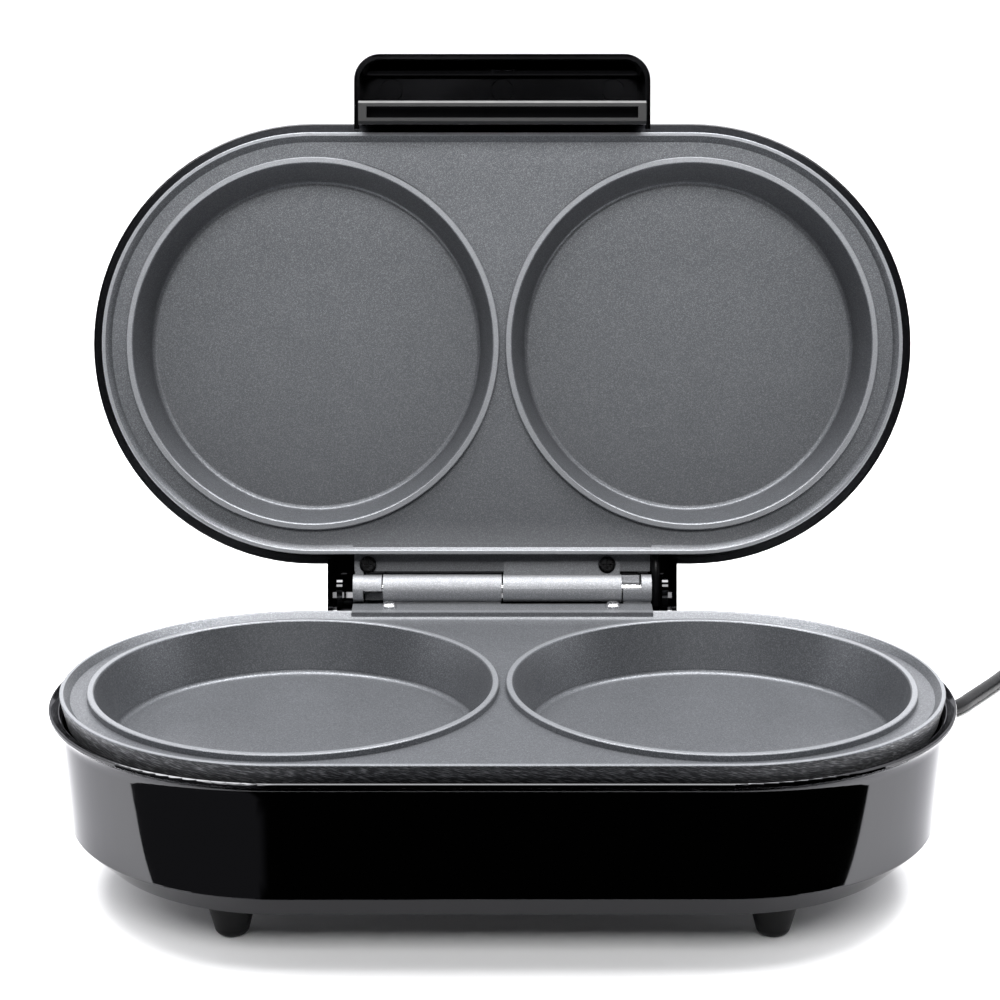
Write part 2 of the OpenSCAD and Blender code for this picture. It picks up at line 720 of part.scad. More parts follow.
module base_housing() {
    color(black_gloss) at_base() {
        difference() {
            union() {
                on_base_lip() sweep() base_section();
                base_block();
            }
            on_base_lip() sweep() base_cavity();
            base_block_room();
            translate([exit_x, block_back - shell_t - over, exit_h])
                rotate([-90, 0, 0]) cylinder(h = shell_t + 2 * over, r = 5 + fit);
            translate([lead_x, hinge_back + 3, block_top - 9])
                cylinder(h = 9 + over, r = lead_r + 0.4, $fn = hidden_fn);
            at_columns() {
                translate([0, 0, bottom_h - over])
                    cylinder(h = lip_h - column_depth - 6 - bottom_h + over, r = 3.6, $fn = hidden_fn);
                cylinder(h = lip_h, r = 1.7, $fn = hidden_fn);
            }
            for (p = foot_places)
                translate([p[0], p[1], bottom_h - over])
                    cylinder(h = shell_t + 2 * over, r = foot_peg_r + fit, $fn = hidden_fn);
            for (x = [-30 : 10 : 30])
                translate([x - 1.5, -26, bottom_h - over]) cube([3, 40, shell_t + 2 * over]);
            for (x = lower_screw_x)
                translate([x, flange_screw_y, block_top - 11]) cylinder(h = 12, r = 1.4, $fn = hidden_fn);
        }
        // Columns that carry the lower plate, and bosses for the hinge screws
        at_columns() difference() {
            translate([0, 0, floor_in - 0.5])
                cylinder(h = lip_h - column_depth - floor_in + 0.5, r = 4.8, $fn = hidden_fn);
            translate([0, 0, bottom_h])
                cylinder(h = lip_h - column_depth - 6 - bottom_h, r = 3.6, $fn = hidden_fn);
            cylinder(h = lip_h, r = 1.7, $fn = hidden_fn);
        }
        for (x = lower_screw_x)
            translate([x, flange_screw_y, block_top - 13]) difference() {
                cylinder(h = 12, r = 3.6, $fn = hidden_fn);
                translate([0, 0, 2]) cylinder(h = 12, r = 1.4, $fn = hidden_fn);
            }
        // Pedestal of the terminal block, and the seat of the lead's clamp
        translate([block_x, block_y, floor_in - 0.5]) cube([28, 16, terminal_z - floor_in + 0.5]);
        for (dx = [-1, 1])
            translate([exit_x + dx * clamp_screw_x, clamp_y, block_low + shell_t - 0.5]) difference() {
                cylinder(h = exit_h - block_low - shell_t + 0.5, r = 3.4, $fn = hidden_fn);
                translate([0, 0, 2]) cylinder(h = 30, r = 1.2, $fn = hidden_fn);
            }
        translate([exit_x - 4, clamp_y - 3.5, block_low + shell_t - 0.5])
            cube([8, 7, exit_h - cord_r - block_low - shell_t + 0.5]);
    }
}

module foot(i) {
    round = 3;
    color(black_matt) at_base() translate([foot_places[i][0], foot_places[i][1], 0]) {
        rotate_extrude() {
            polygon([[0, 0], [foot_tip_r - round, 0], [foot_tip_r - round, round],
                [foot_tip_r + 0.1, round], [foot_top_r, bottom_h - 1.5], [foot_top_r, bottom_h],
                [0, bottom_h]]);
            intersection() {
                translate([foot_tip_r - round, round]) circle(r = round, $fn = hidden_fn);
                square([foot_tip_r + over, round]);
            }
        }
        cylinder(h = bottom_h + shell_t + 2, r = foot_peg_r, $fn = hidden_fn);
    }
}

module foot_front_left() {
    foot(0);
}

module foot_front_right() {
    foot(1);
}

module foot_rear_left() {
    foot(2);
}

module foot_rear_right() {
    foot(3);
}

module base_screws() {
    z = lip_h - column_depth - 6;
    color(steel) at_base() at_columns()
        translate([0, 0, z]) mirror([0, 0, 1]) pan_screw(3.2, 2.2, 1.5, base_screw_l);
}

module lower_hinge_screws() {
    color(steel) at_base()
        for (x = lower_screw_x)
            translate([x, flange_screw_y, lip_h]) pan_screw(3, 1.8, 1.35, hinge_screw_l);
}

module upper_hinge_screws() {
    color(black_matt) in_lid()
        for (x = upper_screw_x)
            translate([x, flange_screw_y, hinge_z + barrel_r])
                mirror([0, 0, 1]) pan_screw(3.35, 2.2, 1.35, 7);
}

module hinge_pin() {
    color(steel) at_base() along_x(-barrel_half, barrel_half, hinge_back, hinge_z, pin_r);
}

// Electrics in the base
module terminal_block() {
    color("ivory") at_base() difference() {
        translate([block_x, block_y, terminal_z]) cube([28, 16, 13]);
        for (i = [0 : 2])
            translate([block_x + 6 + 8 * i, block_y + 8, terminal_z + 13 - 4])
                cylinder(h = 5, r = 2, $fn = hidden_fn);
    }
}

module terminal_screws() {
    color(brass) at_base()
        for (i = [0 : 2])
            translate([block_x + 6 + 8 * i, block_y + 8, terminal_z + 13 - 4])
                cylinder(h = 3, r = 1.9, $fn = hidden_fn);
}

module thermal_fuse() {
    color(brass) at_base() along_x(18, 32, fuse_y, fuse_z, 2.5, hidden_fn);
}

module fuse_clip() {
    color(steel) at_base() difference() {
        translate([22, fuse_y - 10, fuse_z - 3.2]) union() {
            cube([6, 13.3, 5.8]);
        }
        along_x(20, 30, fuse_y, fuse_z, 2.55, hidden_fn);
        translate([21, fuse_y - 11, fuse_z - 4]) cube([8, 7.5, 6.2]);
    }
}

module earth_tag() {
    color(brass) at_base()
        translate([0, waist_y, lip_h - shield_depth - shield_t - tag_t]) difference() {
            union() {
                cylinder(h = tag_t, r = 3.6, $fn = hidden_fn);
                translate([0, -2, 0]) cube([9, 4, tag_t]);
            }
            translate([0, 0, -over]) cylinder(h = 3, r = 1.6, $fn = hidden_fn);
        }
}

module wire(p, shade) {
    color(shade) tube(p, wire_r, 6, [0.1, 0.2, 1]);
}

module wire_live() {
    at_base() wire([[block_x + 6, block_y, 32], [block_x + 6, block_y - 4, 32], [43, block_y - 10, 33],
        [41, block_y - 16, 36], [38, fuse_y + 0.5, fuse_z - 0.5], [35, fuse_y, fuse_z],
        [32, fuse_y, fuse_z]], "brown");
}

module wire_fused() {
    at_base() wire([[18, fuse_y, fuse_z], [15, fuse_y, fuse_z], [11, fuse_y + 2, 36], [9, fuse_y + 8, 31],
        [10, fuse_y + 15, 28], [element_end, block_y - 0.5, 29],
        [element_end, element_loop_r, pin_end_z - 3], [element_end, element_loop_r, pin_end_z]], "brown");
}

module wire_neutral() {
    at_base() wire([[block_x + 14, block_y, 32], [block_x + 14, block_y - 4, 32], [46, block_y - 10, 28],
        [34, block_y - 15, 24.5], [18, block_y - 16, 23.5], [2, block_y - 13, 23.5],
        [-8, block_y - 7, 25], [-element_end, block_y - 1, 28],
        [-element_end, element_loop_r, pin_end_z - 3], [-element_end, element_loop_r, pin_end_z]], "blue");
}

module wire_earth() {
    at_base() wire([[block_x, block_y + 12, 33], [block_x - 4, block_y + 12, 33], [28, waist_y - 3, 35],
        [20, waist_y - 1, 38], [14, waist_y, tag_z - 0.7], [9, waist_y, tag_z - 0.7]], "olivedrab");
}

module cord_tail() {
    color(black_matt) at_base()
        translate([exit_x, block_y + 16, exit_h])
            rotate([-90, 0, 0])
                cylinder(h = block_back - shell_t - 3 - block_y - 16, r = cord_r, $fn = hidden_fn);
}

module cord_clamp() {
    color(black_matt) at_base() difference() {
        translate([exit_x - 11.4, clamp_y - 3.5, exit_h + 0.1]) cube([22.8, 7, cord_r + 2.5]);
        translate([exit_x, clamp_y - 5, exit_h])
            rotate([-90, 0, 0]) cylinder(h = 10, r = cord_r + fit, $fn = hidden_fn);
        for (dx = [-1, 1])
            translate([exit_x + dx * clamp_screw_x, clamp_y, exit_h])
                cylinder(h = 9, r = 1.6, $fn = hidden_fn);
    }
}

module cord_clamp_screws() {
    color(steel) at_base()
        for (dx = [-1, 1])
            translate([exit_x + dx * clamp_screw_x, clamp_y, exit_h + 0.1 + cord_r + 2.5])
                pan_screw(2.8, 1.8, 1.15, clamp_screw_l);
}

module cord_strain_relief() {
    rings = 5;
    step = (boot_l - 6) / rings;
    color(black_matt) at_base() translate([exit_x, block_back, exit_h]) rotate([-90, 0, 0]) {
        translate([0, 0, -shell_t - 3]) cylinder(h = 3, r = 6.6);
        translate([0, 0, -shell_t - over]) cylinder(h = shell_t + 2 * over, r = 5);
        cylinder(h = 2.5, r = 6.8);
        cylinder(h = boot_l, r1 = 4.8, r2 = cord_r + 0.7);
        for (i = [0 : rings - 1])
            translate([0, 0, 4 + i * step]) cylinder(h = step * 0.55, r1 = 6 - 0.38 * i, r2 = 5.9 - 0.38 * i);
    }
}

module power_cord() {
    color(black_matt) at_base() tube(route, cord_r, 8);
}

// The put-away length: it spirals in on the table, climbs a layer and spirals out again
function climb(s) = s * s * (3 - 2 * s);
function coil_radius(a) = coil_r - coil_pitch / 360
    * (a < spiral_turn ? a : a < spiral_turn + half_turn ? spiral_turn : coil_turn - a);
function coil_height(a) = layer_z[0] + (layer_z[1] - layer_z[0])
    * climb(min(max((a - spiral_turn) / half_turn, 0), 1));
function coil_point(a) = [coil_x + coil_radius(a) * cos(coil_start - a),
    coil_y + coil_radius(a) * sin(coil_start - a), coil_height(a)];
coil_steps = ceil(coil_turn / 15);
coil_turns = [for (i = [0 : coil_steps]) coil_point(coil_turn * i / coil_steps)];
coil_last = coil_turns[coil_steps];
end_angle = coil_start - coil_turn;
end_heading = [sin(end_angle), -cos(end_angle), 0];
coil_route = concat([coil_in - coil_heading * cord_d], coil_turns, [coil_last + end_heading * cord_d]);
coil_gap = min([for (i = [0 : coil_steps]) for (j = [i + 12 : 1 : coil_steps])
    norm(coil_turns[i] - coil_turns[j])]) - cord_d;
echo(coil_least_gap = coil_gap);
echo(lead_length = route_length(route) + route_length(coil_route) + boot_l);

module cord_coil() {
    color(black_matt) at_base() tube(coil_route, cord_r, 6);
}

plug_at = coil_last + end_heading * cord_d;
plug_boot = 30;
plug_l = 46;
plug_w = 49;
plug_t = 19;

module at_plug() {
    at_base() translate([plug_at[0], plug_at[1], 0]) rotate([0, 0, end_angle + 180]) children();
}

module plug_body() {
    face = [[0, -15], [8, -plug_w / 2 + 3], [14, -plug_w / 2], [plug_l - 8, -plug_w / 2],
        [plug_l - 2, -plug_w / 2 + 4], [plug_l, -plug_w / 2 + 12]];
    outline = concat(face, [for (i = [len(face) - 1 : -1 : 0]) [face[i][0], -face[i][1]]]);
    color(black_matt) at_plug() rotate([0, 0, 90]) {
        translate([plug_boot, 0, 1.5]) linear_extrude(plug_t - 3) polygon(outline);
        for (z = [0, plug_t - 1.5])
            translate([plug_boot + 1, 0, z]) linear_extrude(1.5)
                polygon([for (p = outline) [p[0] * 0.96, p[1] * 0.96]]);
        translate([0, 0, layer_z[1]]) rotate([0, 90, 0])
            cylinder(h = plug_boot + over, r1 = cord_r + 0.7, r2 = 6);
        for (i = [0 : 4])
            translate([5 + 5 * i, 0, layer_z[1]]) rotate([0, 90, 0])
                cylinder(h = 2.6, r = 4.9 + 0.45 * i);
    }
}

module plug_pins() {
    color(brass) at_plug() rotate([0, 0, 90]) translate([plug_boot, 0, plug_t]) {
        for (side = [-1, 1]) translate([12, side * 11.1 - 3.2, 0]) cube([4, 6.35, 17.7]);
        translate([32, -2, 0]) cube([8, 4, 22.7]);
    }
}

// Sleeved lead that flexes across the hinge: the lid's part of its route, lid closed
function opened(p) = [p[0],
    hinge_back + (p[1] - hinge_back) * cos(open_angle) + (p[2] - hinge_z) * sin(open_angle),
    hinge_z - (p[1] - hinge_back) * sin(open_angle) + (p[2] - hinge_z) * cos(open_angle)];
lead_start = [block_x + 24, block_y + 16, 36];
lead_end = [lid_block_x + 24, lid_block_y + 8, lid_block_z + 4];
lead_route = concat([lead_start, lead_start + [0, 4, 0], [lead_x, hinge_back - 22, exit_h + 5],
    [lead_x, hinge_back - 10, exit_h + 12], [lead_x, hinge_back - 1, exit_h + 22],
    [lead_x, hinge_back + 3, exit_h + 31],
    [lead_x, hinge_back + 3, block_top], [lead_x, hinge_back + 3, hinge_z]],
    [for (p = [[lead_x, hinge_back - 10.5, lid_lip_h + 8], [lead_x, hinge_back - 16.5, lid_lip_h + 12],
        [lead_x - 0.1, hinge_back - 21, lid_lip_h + 15], [lead_x - 1, hinge_back - 23.4, lid_lip_h + 19.5],
        [lead_x - 2.5, hinge_back - 24.2, lid_lip_h + 26.5], [lead_x - 4.3, hinge_back - 25, lid_lip_h + 34],
        [lead_x - 6.8, hinge_back - 28, lid_block_z + 5], [lead_end[0] + 2, lead_end[1] + 6, lid_block_z + 4.3],
        lead_end + [0, 3, 0], lead_end]) opened(p)]);

module hinge_lead() {
    color(black_matt) at_base() tube(lead_route, lead_r, 8, [1, 0, 0.1]);
}

// Lid housing, drawn closed
module lid_section() {
    difference() {
        union() {
            rim_section();
            translate([0, -lid_h + lid_corner]) square([wall_r, lid_h - lid_corner - flare_start]);
            translate([0, -lid_h]) square([wall_r - lid_corner, lid_corner]);
            translate([wall_r - lid_corner, -lid_h + lid_corner]) circle(r = lid_corner);
        }
        translate([0, -rim_drop - rim_edge]) square([rim_r - 4, 2 * rim_edge]);
    }
}

module lid_cavity() {
    inner = lid_corner - shell_t;
    flare(flare_r + shell_t, -over);
    translate([0, -lid_h + lid_corner]) square([wall_r - shell_t, lid_h - lid_corner - flare_start]);
    translate([0, -lid_h + shell_t]) square([wall_r - lid_corner, lid_corner]);
    translate([wall_r - lid_corner, -lid_h + lid_corner]) circle(r = inner);
}

module hinge_cover() {
    across(-ear_out, ear_out) {
        translate([hinge_back, hinge_z])
            intersection() {
                circle(r = cover_r + shell_t);
                translate([-50, lid_rim_z - hinge_z]) square([100, 50]);
            }
        translate([plate_r - 24, lid_rim_z])
            square([hinge_out + 24, hinge_z + cover_r + shell_t - lid_rim_z]);
    }
}

module hinge_cover_room() {
    across(-ear_in, ear_in) {
        translate([hinge_back, hinge_z]) {
            circle(r = cover_r);
            polygon([[0, 0], [40 * cos(cover_end), 40 * sin(cover_end)], [40, -40], [0, -40]]);
        }
        translate([plate_r - 24, lip_h]) square([hinge_out + 24, hinge_z + cover_r - lip_h]);
    }
}

module rounded_plan(half, front, corner) {
    translate([-half, front + corner]) square([2 * half, -front - corner - plate_r + 24]);
    translate([-half + corner, front]) square([2 * (half - corner), 20]);
    for (side = [-1, 1]) translate([side * (half - corner), front + corner]) circle(r = corner);
}

module handle_side_view(inset) {
    nose = 6 - inset / 2;
    front = handle_front + inset;
    top = handle_top - inset;
    polygon([[front, lid_rim_z - over], [front, top - nose], [front + nose, top], [-50, top],
        [-50, lid_rim_z - over]]);
    translate([front + nose, top - nose]) circle(r = nose);
}

module handle() {
    difference() {
        intersection() {
            translate([0, 0, lid_rim_z])
                linear_extrude(handle_h) rounded_plan(handle_w / 2, handle_front, handle_corner);
            across(-handle_w, handle_w) handle_side_view(0);
        }
        intersection() {
            translate([0, 0, lid_rim_z - over])
                linear_extrude(handle_h)
                    rounded_plan(handle_w / 2 - handle_wall, handle_front + handle_wall,
                        handle_corner - handle_wall);
            across(-handle_w, handle_w) handle_side_view(handle_wall);
        }
        across(-handle_w, handle_w) translate([14 - plate_r, 0]) square([80, 200]);
    }
}

module lid_housing() {
    color(black_gloss) in_lid() difference() {
        union() {
            difference() {
                union() {
                    on_lid_lip() sweep() lid_section();
                    hinge_cover();
                    handle();
                }
                on_lid_lip() sweep() lid_cavity();
                hinge_cover_room();
            }
            // Bosses for the two dark hinge screws, spigots for the plate, lamp holder posts
            for (x = upper_screw_x)
                translate([x, flange_screw_y, hinge_z + barrel_r + flange_t])
                    cylinder(h = cover_r - barrel_r - flange_t + 0.5, r = 3.5, $fn = hidden_fn);
            at_columns() {
                translate([0, 0, lid_lip_h + column_depth])
                    cylinder(h = lid_h - shell_t - column_depth + 0.5, r = 4.8, $fn = hidden_fn);
                translate([0, 0, lid_lip_h + column_depth - 5])
                    cylinder(h = 6, r = 1.5, $fn = hidden_fn);
            }
            translate([lid_block_x + 4, lid_block_y, lid_block_z + 8])
                cube([16, 8, lid_h - shell_t - shield_depth - shield_t - 8 + 0.5]);
        }
        for (x = upper_screw_x)
            translate([x, flange_screw_y, hinge_z + barrel_r + flange_t - over])
                cylinder(h = 5, r = 1.4, $fn = hidden_fn);
        for (side = [-1, 1])
            translate([side * lens_x, -lens_front, lid_top_z - shell_t - over])
                cylinder(h = shell_t + 2 * over, r = lens_r - 0.7 + fit);
        along_x(-latch_half - latch_gap - 1.2, latch_half + latch_gap + 1.2, latch_axis_y, latch_axis_z,
            latch_pin_r + fit);
    }
}

module lens(side, shade) {
    color(shade) in_lid() translate([side * lens_x, -lens_front, 0]) {
        translate([0, 0, lid_top_z - shell_t - 1]) cylinder(h = shell_t + 1, r = lens_r - 0.7);
        translate([0, 0, lid_top_z]) cylinder(h = 0.8, r = lens_r);
        translate([0, 0, lid_top_z + 0.8]) cylinder(h = 0.5, r1 = lens_r, r2 = lens_r - 1);
    }
}

module lens_power() {
    lens(-1, "red");
}

module lens_ready() {
    lens(1, "limegreen");
}

module lamp_holder() {
    color("white") in_lid() difference() {
        translate([-lens_x - 7, -lens_front - 7, lamp_seat]) cube([2 * lens_x + 14, 14, 7]);
        for (side = [-1, 1])
            translate([side * lens_x, -lens_front, lamp_seat + 1.5])
                cylinder(h = 10, r = lens_r, $fn = hidden_fn);
    }
}

module lamp(side, shade) {
    color(shade) in_lid() translate([side * lens_x, -lens_front, lamp_seat + 1.5]) {
        cylinder(h = 2, r = 2, $fn = hidden_fn);
        translate([0, 0, 2]) sphere(r = 2, $fn = hidden_fn);
    }
}

module lamp_power() {
    lamp(-1, "orange");
}

module lamp_ready() {
    lamp(1, "palegreen");
}

// Thermostat on the waist of the upper plate
module thermostat() {
    color("saddlebrown") in_lid() translate([0, -thermostat_y, thermo_z]) {
        cylinder(h = thermostat_seat, r = 7.8);
        cylinder(h = 11, r = 6);
        for (side = [-1, 1]) translate([side * 3 - 0.4, -1.5, 11]) cube([0.8, 3, 5]);
    }
}

module thermostat_bracket() {
    color(steel) in_lid() translate([0, -thermostat_y, thermo_z + thermostat_seat]) difference() {
        union() {
            cylinder(h = 0.8, r = 7.8);
            translate([-3, -14, 0]) cube([6, 28, 0.8]);
        }
        translate([0, 0, -over]) cylinder(h = 3, r = 6 + fit);
        for (dy = [-11, 11]) translate([0, dy, -over]) cylinder(h = 3, r = 1.3, $fn = hidden_fn);
    }
}

module thermostat_screws() {
    color(steel) in_lid()
        for (dy = [-11, 11])
            translate([0, dy - thermostat_y, thermo_z + thermostat_seat + 0.8])
                pan_screw(2.4, 1.6, 1.05, 5);
}

module lid_connector() {
    color("ivory") in_lid() translate([lid_block_x, lid_block_y, lid_block_z]) cube([28, 8, 8]);
}

module lid_wire_live() {
    z = lid_block_z;
    y = lid_block_y + 4;
    in_lid() wire([[lid_block_x, y, z + 4], [20, y, z + 4], [12, y + 0.5, z + 4], [5, y - 2, z + 4],
        [1.5, y - 10, z + 4], [1, y - 29, z + 4], [1, 5, z + 4], [1.2, 28 - thermostat_y, z + 4],
        [1.2, 18 - thermostat_y, z + 1], [1.5, 14 - thermostat_y, z - 5], [3, 9 - thermostat_y, thermo_z + 21],
        [3, 2 - thermostat_y, thermo_z + 20], [3, -thermostat_y, thermo_z + 18.5],
        [3, -thermostat_y, thermo_z + 16]], "brown");
}

module lid_wire_switched() {
    z = lid_block_z;
    end_z = lid_lip_h + pin_depth;
    in_lid() wire([[-3, -thermostat_y, thermo_z + 16], [-3, -thermostat_y, thermo_z + 18.5],
        [-3, 2 - thermostat_y, thermo_z + 20], [-3, 9 - thermostat_y, thermo_z + 21],
        [-1.5, 14 - thermostat_y, z - 5], [-1.4, 18 - thermostat_y, z + 1], [-1.6, 28 - thermostat_y, z + 4],
        [-3, 5, z + 3], [-7, element_loop_r - 23, z + 3], [-10, element_loop_r - 10, z + 2.5],
        [-element_end, element_loop_r - 4, end_z + 1.4], [-element_end, element_loop_r, end_z + 1.1]],
        "brown");
}

module lid_wire_neutral() {
    z = lid_block_z;
    y = lid_block_y;
    end_z = lid_lip_h + pin_depth;
    in_lid() wire([[lid_block_x + 3, y, z + 4], [lid_block_x + 3, y - 4, z + 4], [24, y - 7, z + 5],
        [18, y - 8, z + 6], [element_end + 1, y - 6, end_z + 1.4], [element_end, element_loop_r, end_z + 1.1]],
        "blue");
}

module lamp_wires() {
    z = lid_block_z;
    y = lid_block_y;
    in_lid() {
        wire([[lid_block_x + 10, y, z + 4], [lid_block_x + 10, y - 4, z + 4], [30, y - 20, z + 3],
            [22, 0, z + 3], [16, 26 - lens_front, z + 3], [lens_x, 16 - lens_front, z + 4],
            [lens_x, 11.5 - lens_front, lamp_seat + 2.5], [lens_x, 7 - lens_front, lamp_seat + 2.5]], "gray");
        wire([[lid_block_x + 16, y, z + 4], [lid_block_x + 16, y - 4, z + 4], [36, y - 30, z + 6.5],
            [26, 38 - lens_front, z + 6.5], [10, 20 - lens_front, z + 7], [-6, 16 - lens_front, z + 6.5],
            [-lens_x, 11.5 - lens_front, lamp_seat + 2.5], [-lens_x, 7 - lens_front, lamp_seat + 2.5]], "gray");
    }
}

// Latch, drawn closed
module latch_bar() {
    round = latch_t / 2;
    color(black_matt) in_lid() difference() {
        union() {
            across(-latch_half, latch_half) {
                polygon([[latch_out, latch_axis_z], [latch_out, hook_end + 1], [latch_out + 1, hook_end],
                    [hook_tip - 1, hook_end], [hook_tip, hook_end + 1], [hook_tip, hook_top],
                    [latch_in + 0.3, rim_under], [latch_in, rim_under + 0.8], [latch_in, latch_axis_z]]);
                translate([latch_axis_y, latch_axis_z]) circle(r = round);
            }
        }
        // The slot that the hook's end is cored out with
        translate([-latch_half + 3.2, latch_out + 2.3, hook_end - over])
            cube([2 * latch_half - 6.4, hook_tip - latch_out - 4.6, hook_h + 2 + over]);
        along_x(-latch_half - over, latch_half + over, latch_axis_y, latch_axis_z, latch_pin_r + pin_play);
        translate([-spring_half - 0.5, latch_out - over, latch_axis_z - spring_r - 0.5])
            cube([2 * spring_half + 1, latch_t + 2 * over, 2 * spring_r + 2]);
    }
}

module latch_pin() {
    reach = latch_half + latch_gap + 1;
    color(steel) in_lid() along_x(-reach, reach, latch_axis_y, latch_axis_z, latch_pin_r);
}

module latch_spring() {
    leg_y = latch_out - leg_r - 0.05;
    color(steel) in_lid() {
        difference() {
            along_x(-spring_half + 0.5, spring_half - 0.5, latch_axis_y, latch_axis_z, spring_r);
            along_x(-spring_half, spring_half, latch_axis_y, latch_axis_z, spring_r - 2 * leg_r);
        }
        translate([spring_half - 1, leg_y, latch_axis_z])
            cylinder(h = handle_top - handle_wall - latch_axis_z - seat_gap, r = leg_r, $fn = hidden_fn);
        translate([-spring_half + 1, leg_y, latch_axis_z - 9])
            cylinder(h = 9, r = leg_r, $fn = hidden_fn);
    }
}

base_housing();
foot_front_left();
foot_front_right();
foot_rear_left();
foot_rear_right();
lower_plate();
lower_element();
lower_element_pins();
lower_heat_shield();
lower_shield_screws();
base_screws();
lower_hinge_screws();
hinge_pin();
terminal_block();
terminal_screws();
thermal_fuse();
fuse_clip();
earth_tag();
wire_live();
wire_fused();
wire_neutral();
wire_earth();
cord_tail();
cord_clamp();
cord_clamp_screws();
cord_strain_relief();
power_cord();
cord_coil();
plug_body();
plug_pins();
hinge_lead();
lid_housing();
upper_plate();
upper_element();
upper_element_pins();
upper_heat_shield();
upper_shield_screws();
upper_hinge_screws();
thermostat();
thermostat_bracket();
thermostat_screws();
lid_connector();
lid_wire_live();
lid_wire_switched();
lid_wire_neutral();
lamp_wires();
lamp_holder();
lamp_power();
lamp_ready();
lens_power();
lens_ready();
latch_pin();
latch_spring();
latch_bar();
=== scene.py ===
# %% [markdown]
# # A double omelette maker, standing open
# Two die-cast plates with a pair of round wells sit in gloss black shells, joined by a
# barrel hinge. The solids are already exact, so they stay as they are. This lesson gives
# each of them its finish, and models what a solid can't show well: the soft lead, the wire
# of a small spring, the moulded plug, and the marks that moulding and casting leave.

# %% Load the solids
import bpy, json, math
from mathutils import Vector, Matrix


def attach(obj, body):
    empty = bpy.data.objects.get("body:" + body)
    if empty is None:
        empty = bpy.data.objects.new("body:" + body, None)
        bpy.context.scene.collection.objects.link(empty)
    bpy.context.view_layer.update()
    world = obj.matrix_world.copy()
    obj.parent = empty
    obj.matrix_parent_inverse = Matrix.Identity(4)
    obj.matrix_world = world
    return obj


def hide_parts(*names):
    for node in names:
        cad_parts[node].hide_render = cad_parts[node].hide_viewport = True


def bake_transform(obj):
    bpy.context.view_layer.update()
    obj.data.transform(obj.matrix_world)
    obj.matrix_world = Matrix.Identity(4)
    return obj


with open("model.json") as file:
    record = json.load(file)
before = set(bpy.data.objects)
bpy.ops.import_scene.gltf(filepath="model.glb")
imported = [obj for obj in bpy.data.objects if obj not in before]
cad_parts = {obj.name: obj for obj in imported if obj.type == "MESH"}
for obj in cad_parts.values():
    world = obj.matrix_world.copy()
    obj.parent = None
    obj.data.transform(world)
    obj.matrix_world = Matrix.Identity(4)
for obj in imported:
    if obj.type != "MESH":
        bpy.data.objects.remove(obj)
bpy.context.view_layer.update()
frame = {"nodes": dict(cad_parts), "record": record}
bpy.ops.object.select_all(action="DESELECT")

# %% [markdown]
# ## Places that everything shares
# The solids use metres, with the table at zero. The middle of the base lies a little in
# front of the origin. WELL_X is how far a well's centre is from the middle, and the plates'
# lips meet at LIP and LID_LIP. Lid parts are easiest to think of with the lid closed, so
# one small function turns a closed-lid point to where it lies with the lid open.

# %% Places
BASE_Y = -0.0459932
HINGE = Vector((0, 0.098 + BASE_Y, 0.0809))
OPEN = math.radians(104.4)
WELL_X = 0.0757
LIP = 0.076
LID_LIP = 0.0765
LID_TURN = Matrix.Translation(HINGE) @ Matrix.Rotation(-OPEN, 4, "X") @ Matrix.Translation(-HINGE)

def mm(x, y, z):
    return Vector((x / 1000, y / 1000 + BASE_Y, z / 1000))

def opened(x, y, z):
    return LID_TURN @ mm(x, y, z)

print("top of the open lid:", round(opened(0, -88.3, 81.6).z, 4))

# %% [markdown]
# ## Camera
# The picture was taken from the front, a little above, with a long lens from less than a
# metre away. The camera stands where the round ends of both plates fit the picture best.

# %% Camera
LOOK_DOWN = 15.09
lens = bpy.data.cameras.new("camera")
lens.lens = 88.35
lens.sensor_width = 36.0
lens.clip_start = 0.05
camera = bpy.data.objects.new("camera", lens)
bpy.context.scene.collection.objects.link(camera)
camera.location = (-0.00091, -0.844 + BASE_Y, 0.3716)
camera.rotation_euler = (math.radians(90 - LOOK_DOWN), 0, 0)
bpy.context.scene.camera = camera
bpy.context.scene.view_settings.view_transform = "Standard"
print("camera:", [round(v, 4) for v in camera.location])

# %% [markdown]
# ## Node helpers
# Every finish below is a small tree of shader nodes, and so is the light of the room. A few
# helpers keep the cells short: add puts in a node with its settings, start begins a material
# and hands back its main shader, and the rest name what a node does. Each takes the material
# (or the world) whose tree it adds to. Patterns read Object coordinates. They are fixed to
# the piece and measured in metres, so a scale of 400 gives marks about 2.5 mm across.

# %% Node helpers
def add(mat, kind, inputs=None, **settings):
    node = mat.node_tree.nodes.new(kind)
    for name, value in settings.items():
        setattr(node, name, value)
    for name, value in (inputs or {}).items():
        set_or_link(mat, node.inputs[name], value)
    return node

def set_or_link(mat, socket, value):
    if isinstance(value, bpy.types.NodeSocket):
        mat.node_tree.links.new(value, socket)
    else:
        socket.default_value = value

def feed(mat, output, node, name):
    mat.node_tree.links.new(output, node.inputs[name])

def start(name, roughness, metallic=0.0, specular=0.5):
    mat = bpy.data.materials.new(name)
    mat.use_nodes = True
    shader = mat.node_tree.nodes["Principled BSDF"]
    shader.inputs["Roughness"].default_value = roughness
    shader.inputs["Metallic"].default_value = metallic
    shader.inputs["Specular IOR Level"].default_value = specular
    return mat, shader

def place_of(mat):
    return add(mat, "ShaderNodeTexCoord").outputs["Object"]

def parts_of(mat, vector):
    return add(mat, "ShaderNodeSeparateXYZ", {"Vector": vector}).outputs

def mapped(mat, at, **turns):
    moves = {name.capitalize(): value for name, value in turns.items()}
    return add(mat, "ShaderNodeMapping", {"Vector": at, **moves}).outputs["Vector"]

def noise(mat, at, scale, detail=3.0, rough=0.55):
    return add(mat, "ShaderNodeTexNoise", {"Vector": at, "Scale": scale, "Detail": detail,
               "Roughness": rough}).outputs["Fac"]

